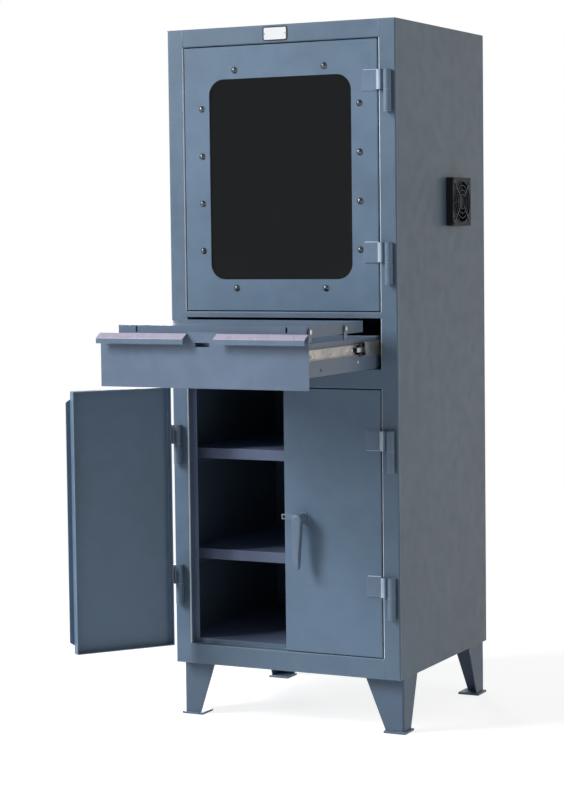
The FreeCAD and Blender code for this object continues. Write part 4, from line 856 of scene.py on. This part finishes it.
WORLD_LEVEL = 0.21
ROOM_BEHIND_CAMERA = 0.25
world = bpy.data.worlds.new("white_surround")
bpy.context.scene.world = world
world.use_nodes = True
tree = world.node_tree
tree.nodes.clear()
light_path = add_node(tree, "ShaderNodeLightPath")
way = add_node(tree, "ShaderNodeSeparateXYZ", {},
               {0: add_node(tree, "ShaderNodeTexCoord").outputs["Generated"]})
behind = add_node(tree, "ShaderNodeMapRange", {"From Min": -0.3, "From Max": 0.2,
                                               "To Min": ROOM_BEHIND_CAMERA, "To Max": 1.0},
                  {"Value": way.outputs["Y"]})
straight = add_node(tree, "ShaderNodeMath", {"operation": "MAXIMUM"},
                    {0: light_path.outputs["Is Camera Ray"], 1: light_path.outputs["Is Transmission Ray"]})
gloss_level = add_node(tree, "ShaderNodeMix", {"data_type": "FLOAT", 2: WORLD_LEVEL},
                       {0: light_path.outputs["Is Glossy Ray"], 3: behind.outputs[0]})
level = add_node(tree, "ShaderNodeMix", {"data_type": "FLOAT", 3: 1.0},
                 {0: straight.outputs[0], 2: gloss_level.outputs[0]})
back = add_node(tree, "ShaderNodeBackground", {"Color": (1.0, 1.0, 1.0, 1.0)}, {"Strength": level.outputs[0]})
add_node(tree, "ShaderNodeOutputWorld", {}, {"Surface": back.outputs[0]})

# Soft boxes: two keys in front on the left, one above the other, a warmer fill
# on the right, and one behind on the left, too low to shine on the top.
for name, at, aim, size, power, colour in (
        ("key_softbox", (-6.0, -5.8, 4.0), (0, -0.3, 1.1), 2.4, 290, "#fafcff"),
        ("high_softbox", (-5.2, -5.4, 6.4), (0, -0.3, 1.1), 2.4, 490, "#fafcff"),
        ("fill_softbox", (5.2, -1.2, 2.4), (0.3, 0, 1.0), 2.4, 23, "#fff1e2"),
        ("rear_softbox", (-3.2, 5.2, 1.3), (-0.1, 0.3, 1.0), 1.2, 120, "#fafcff")):
    lamp = bpy.data.lights.new(name, "AREA")
    lamp.shape = "SQUARE"
    lamp.size = size
    lamp.energy = power
    lamp.color = linear(colour)[:3]
    box = bpy.data.objects.new(name, lamp)
    bpy.context.scene.collection.objects.link(box)
    box.location = at
    box.rotation_euler = (Vector(aim) - Vector(at)).to_track_quat("-Z", "Y").to_euler()

# ---------------------------------------------------------------------------
# The camera: chest high, in front and to the right, with a long lens.
# ---------------------------------------------------------------------------
CAMERA_PLACE = (2.729, -5.8275, 1.40335)
TURN, TILT, ROLL = (math.radians(angle) for angle in (26.68, 3.80, -0.71))
forward = Vector((-math.sin(TURN) * math.cos(TILT), math.cos(TURN) * math.cos(TILT), -math.sin(TILT)))
level_right = Vector((math.cos(TURN), math.sin(TURN), 0))
level_up = level_right.cross(forward)
right = math.cos(ROLL) * level_right + math.sin(ROLL) * level_up
up = math.cos(ROLL) * level_up - math.sin(ROLL) * level_right
camera = bpy.data.objects.new("camera", bpy.data.cameras.new("camera"))
bpy.context.scene.collection.objects.link(camera)
stand = Matrix((right, up, -forward)).transposed().to_4x4()
stand.translation = CAMERA_PLACE
camera.matrix_world = stand
camera.data.sensor_width = 36.0
camera.data.lens = 97.74
camera.data.shift_x = 0.010
camera.data.shift_y = -0.0275
bpy.context.scene.camera = camera
bpy.context.scene.view_settings.view_transform = "Standard"
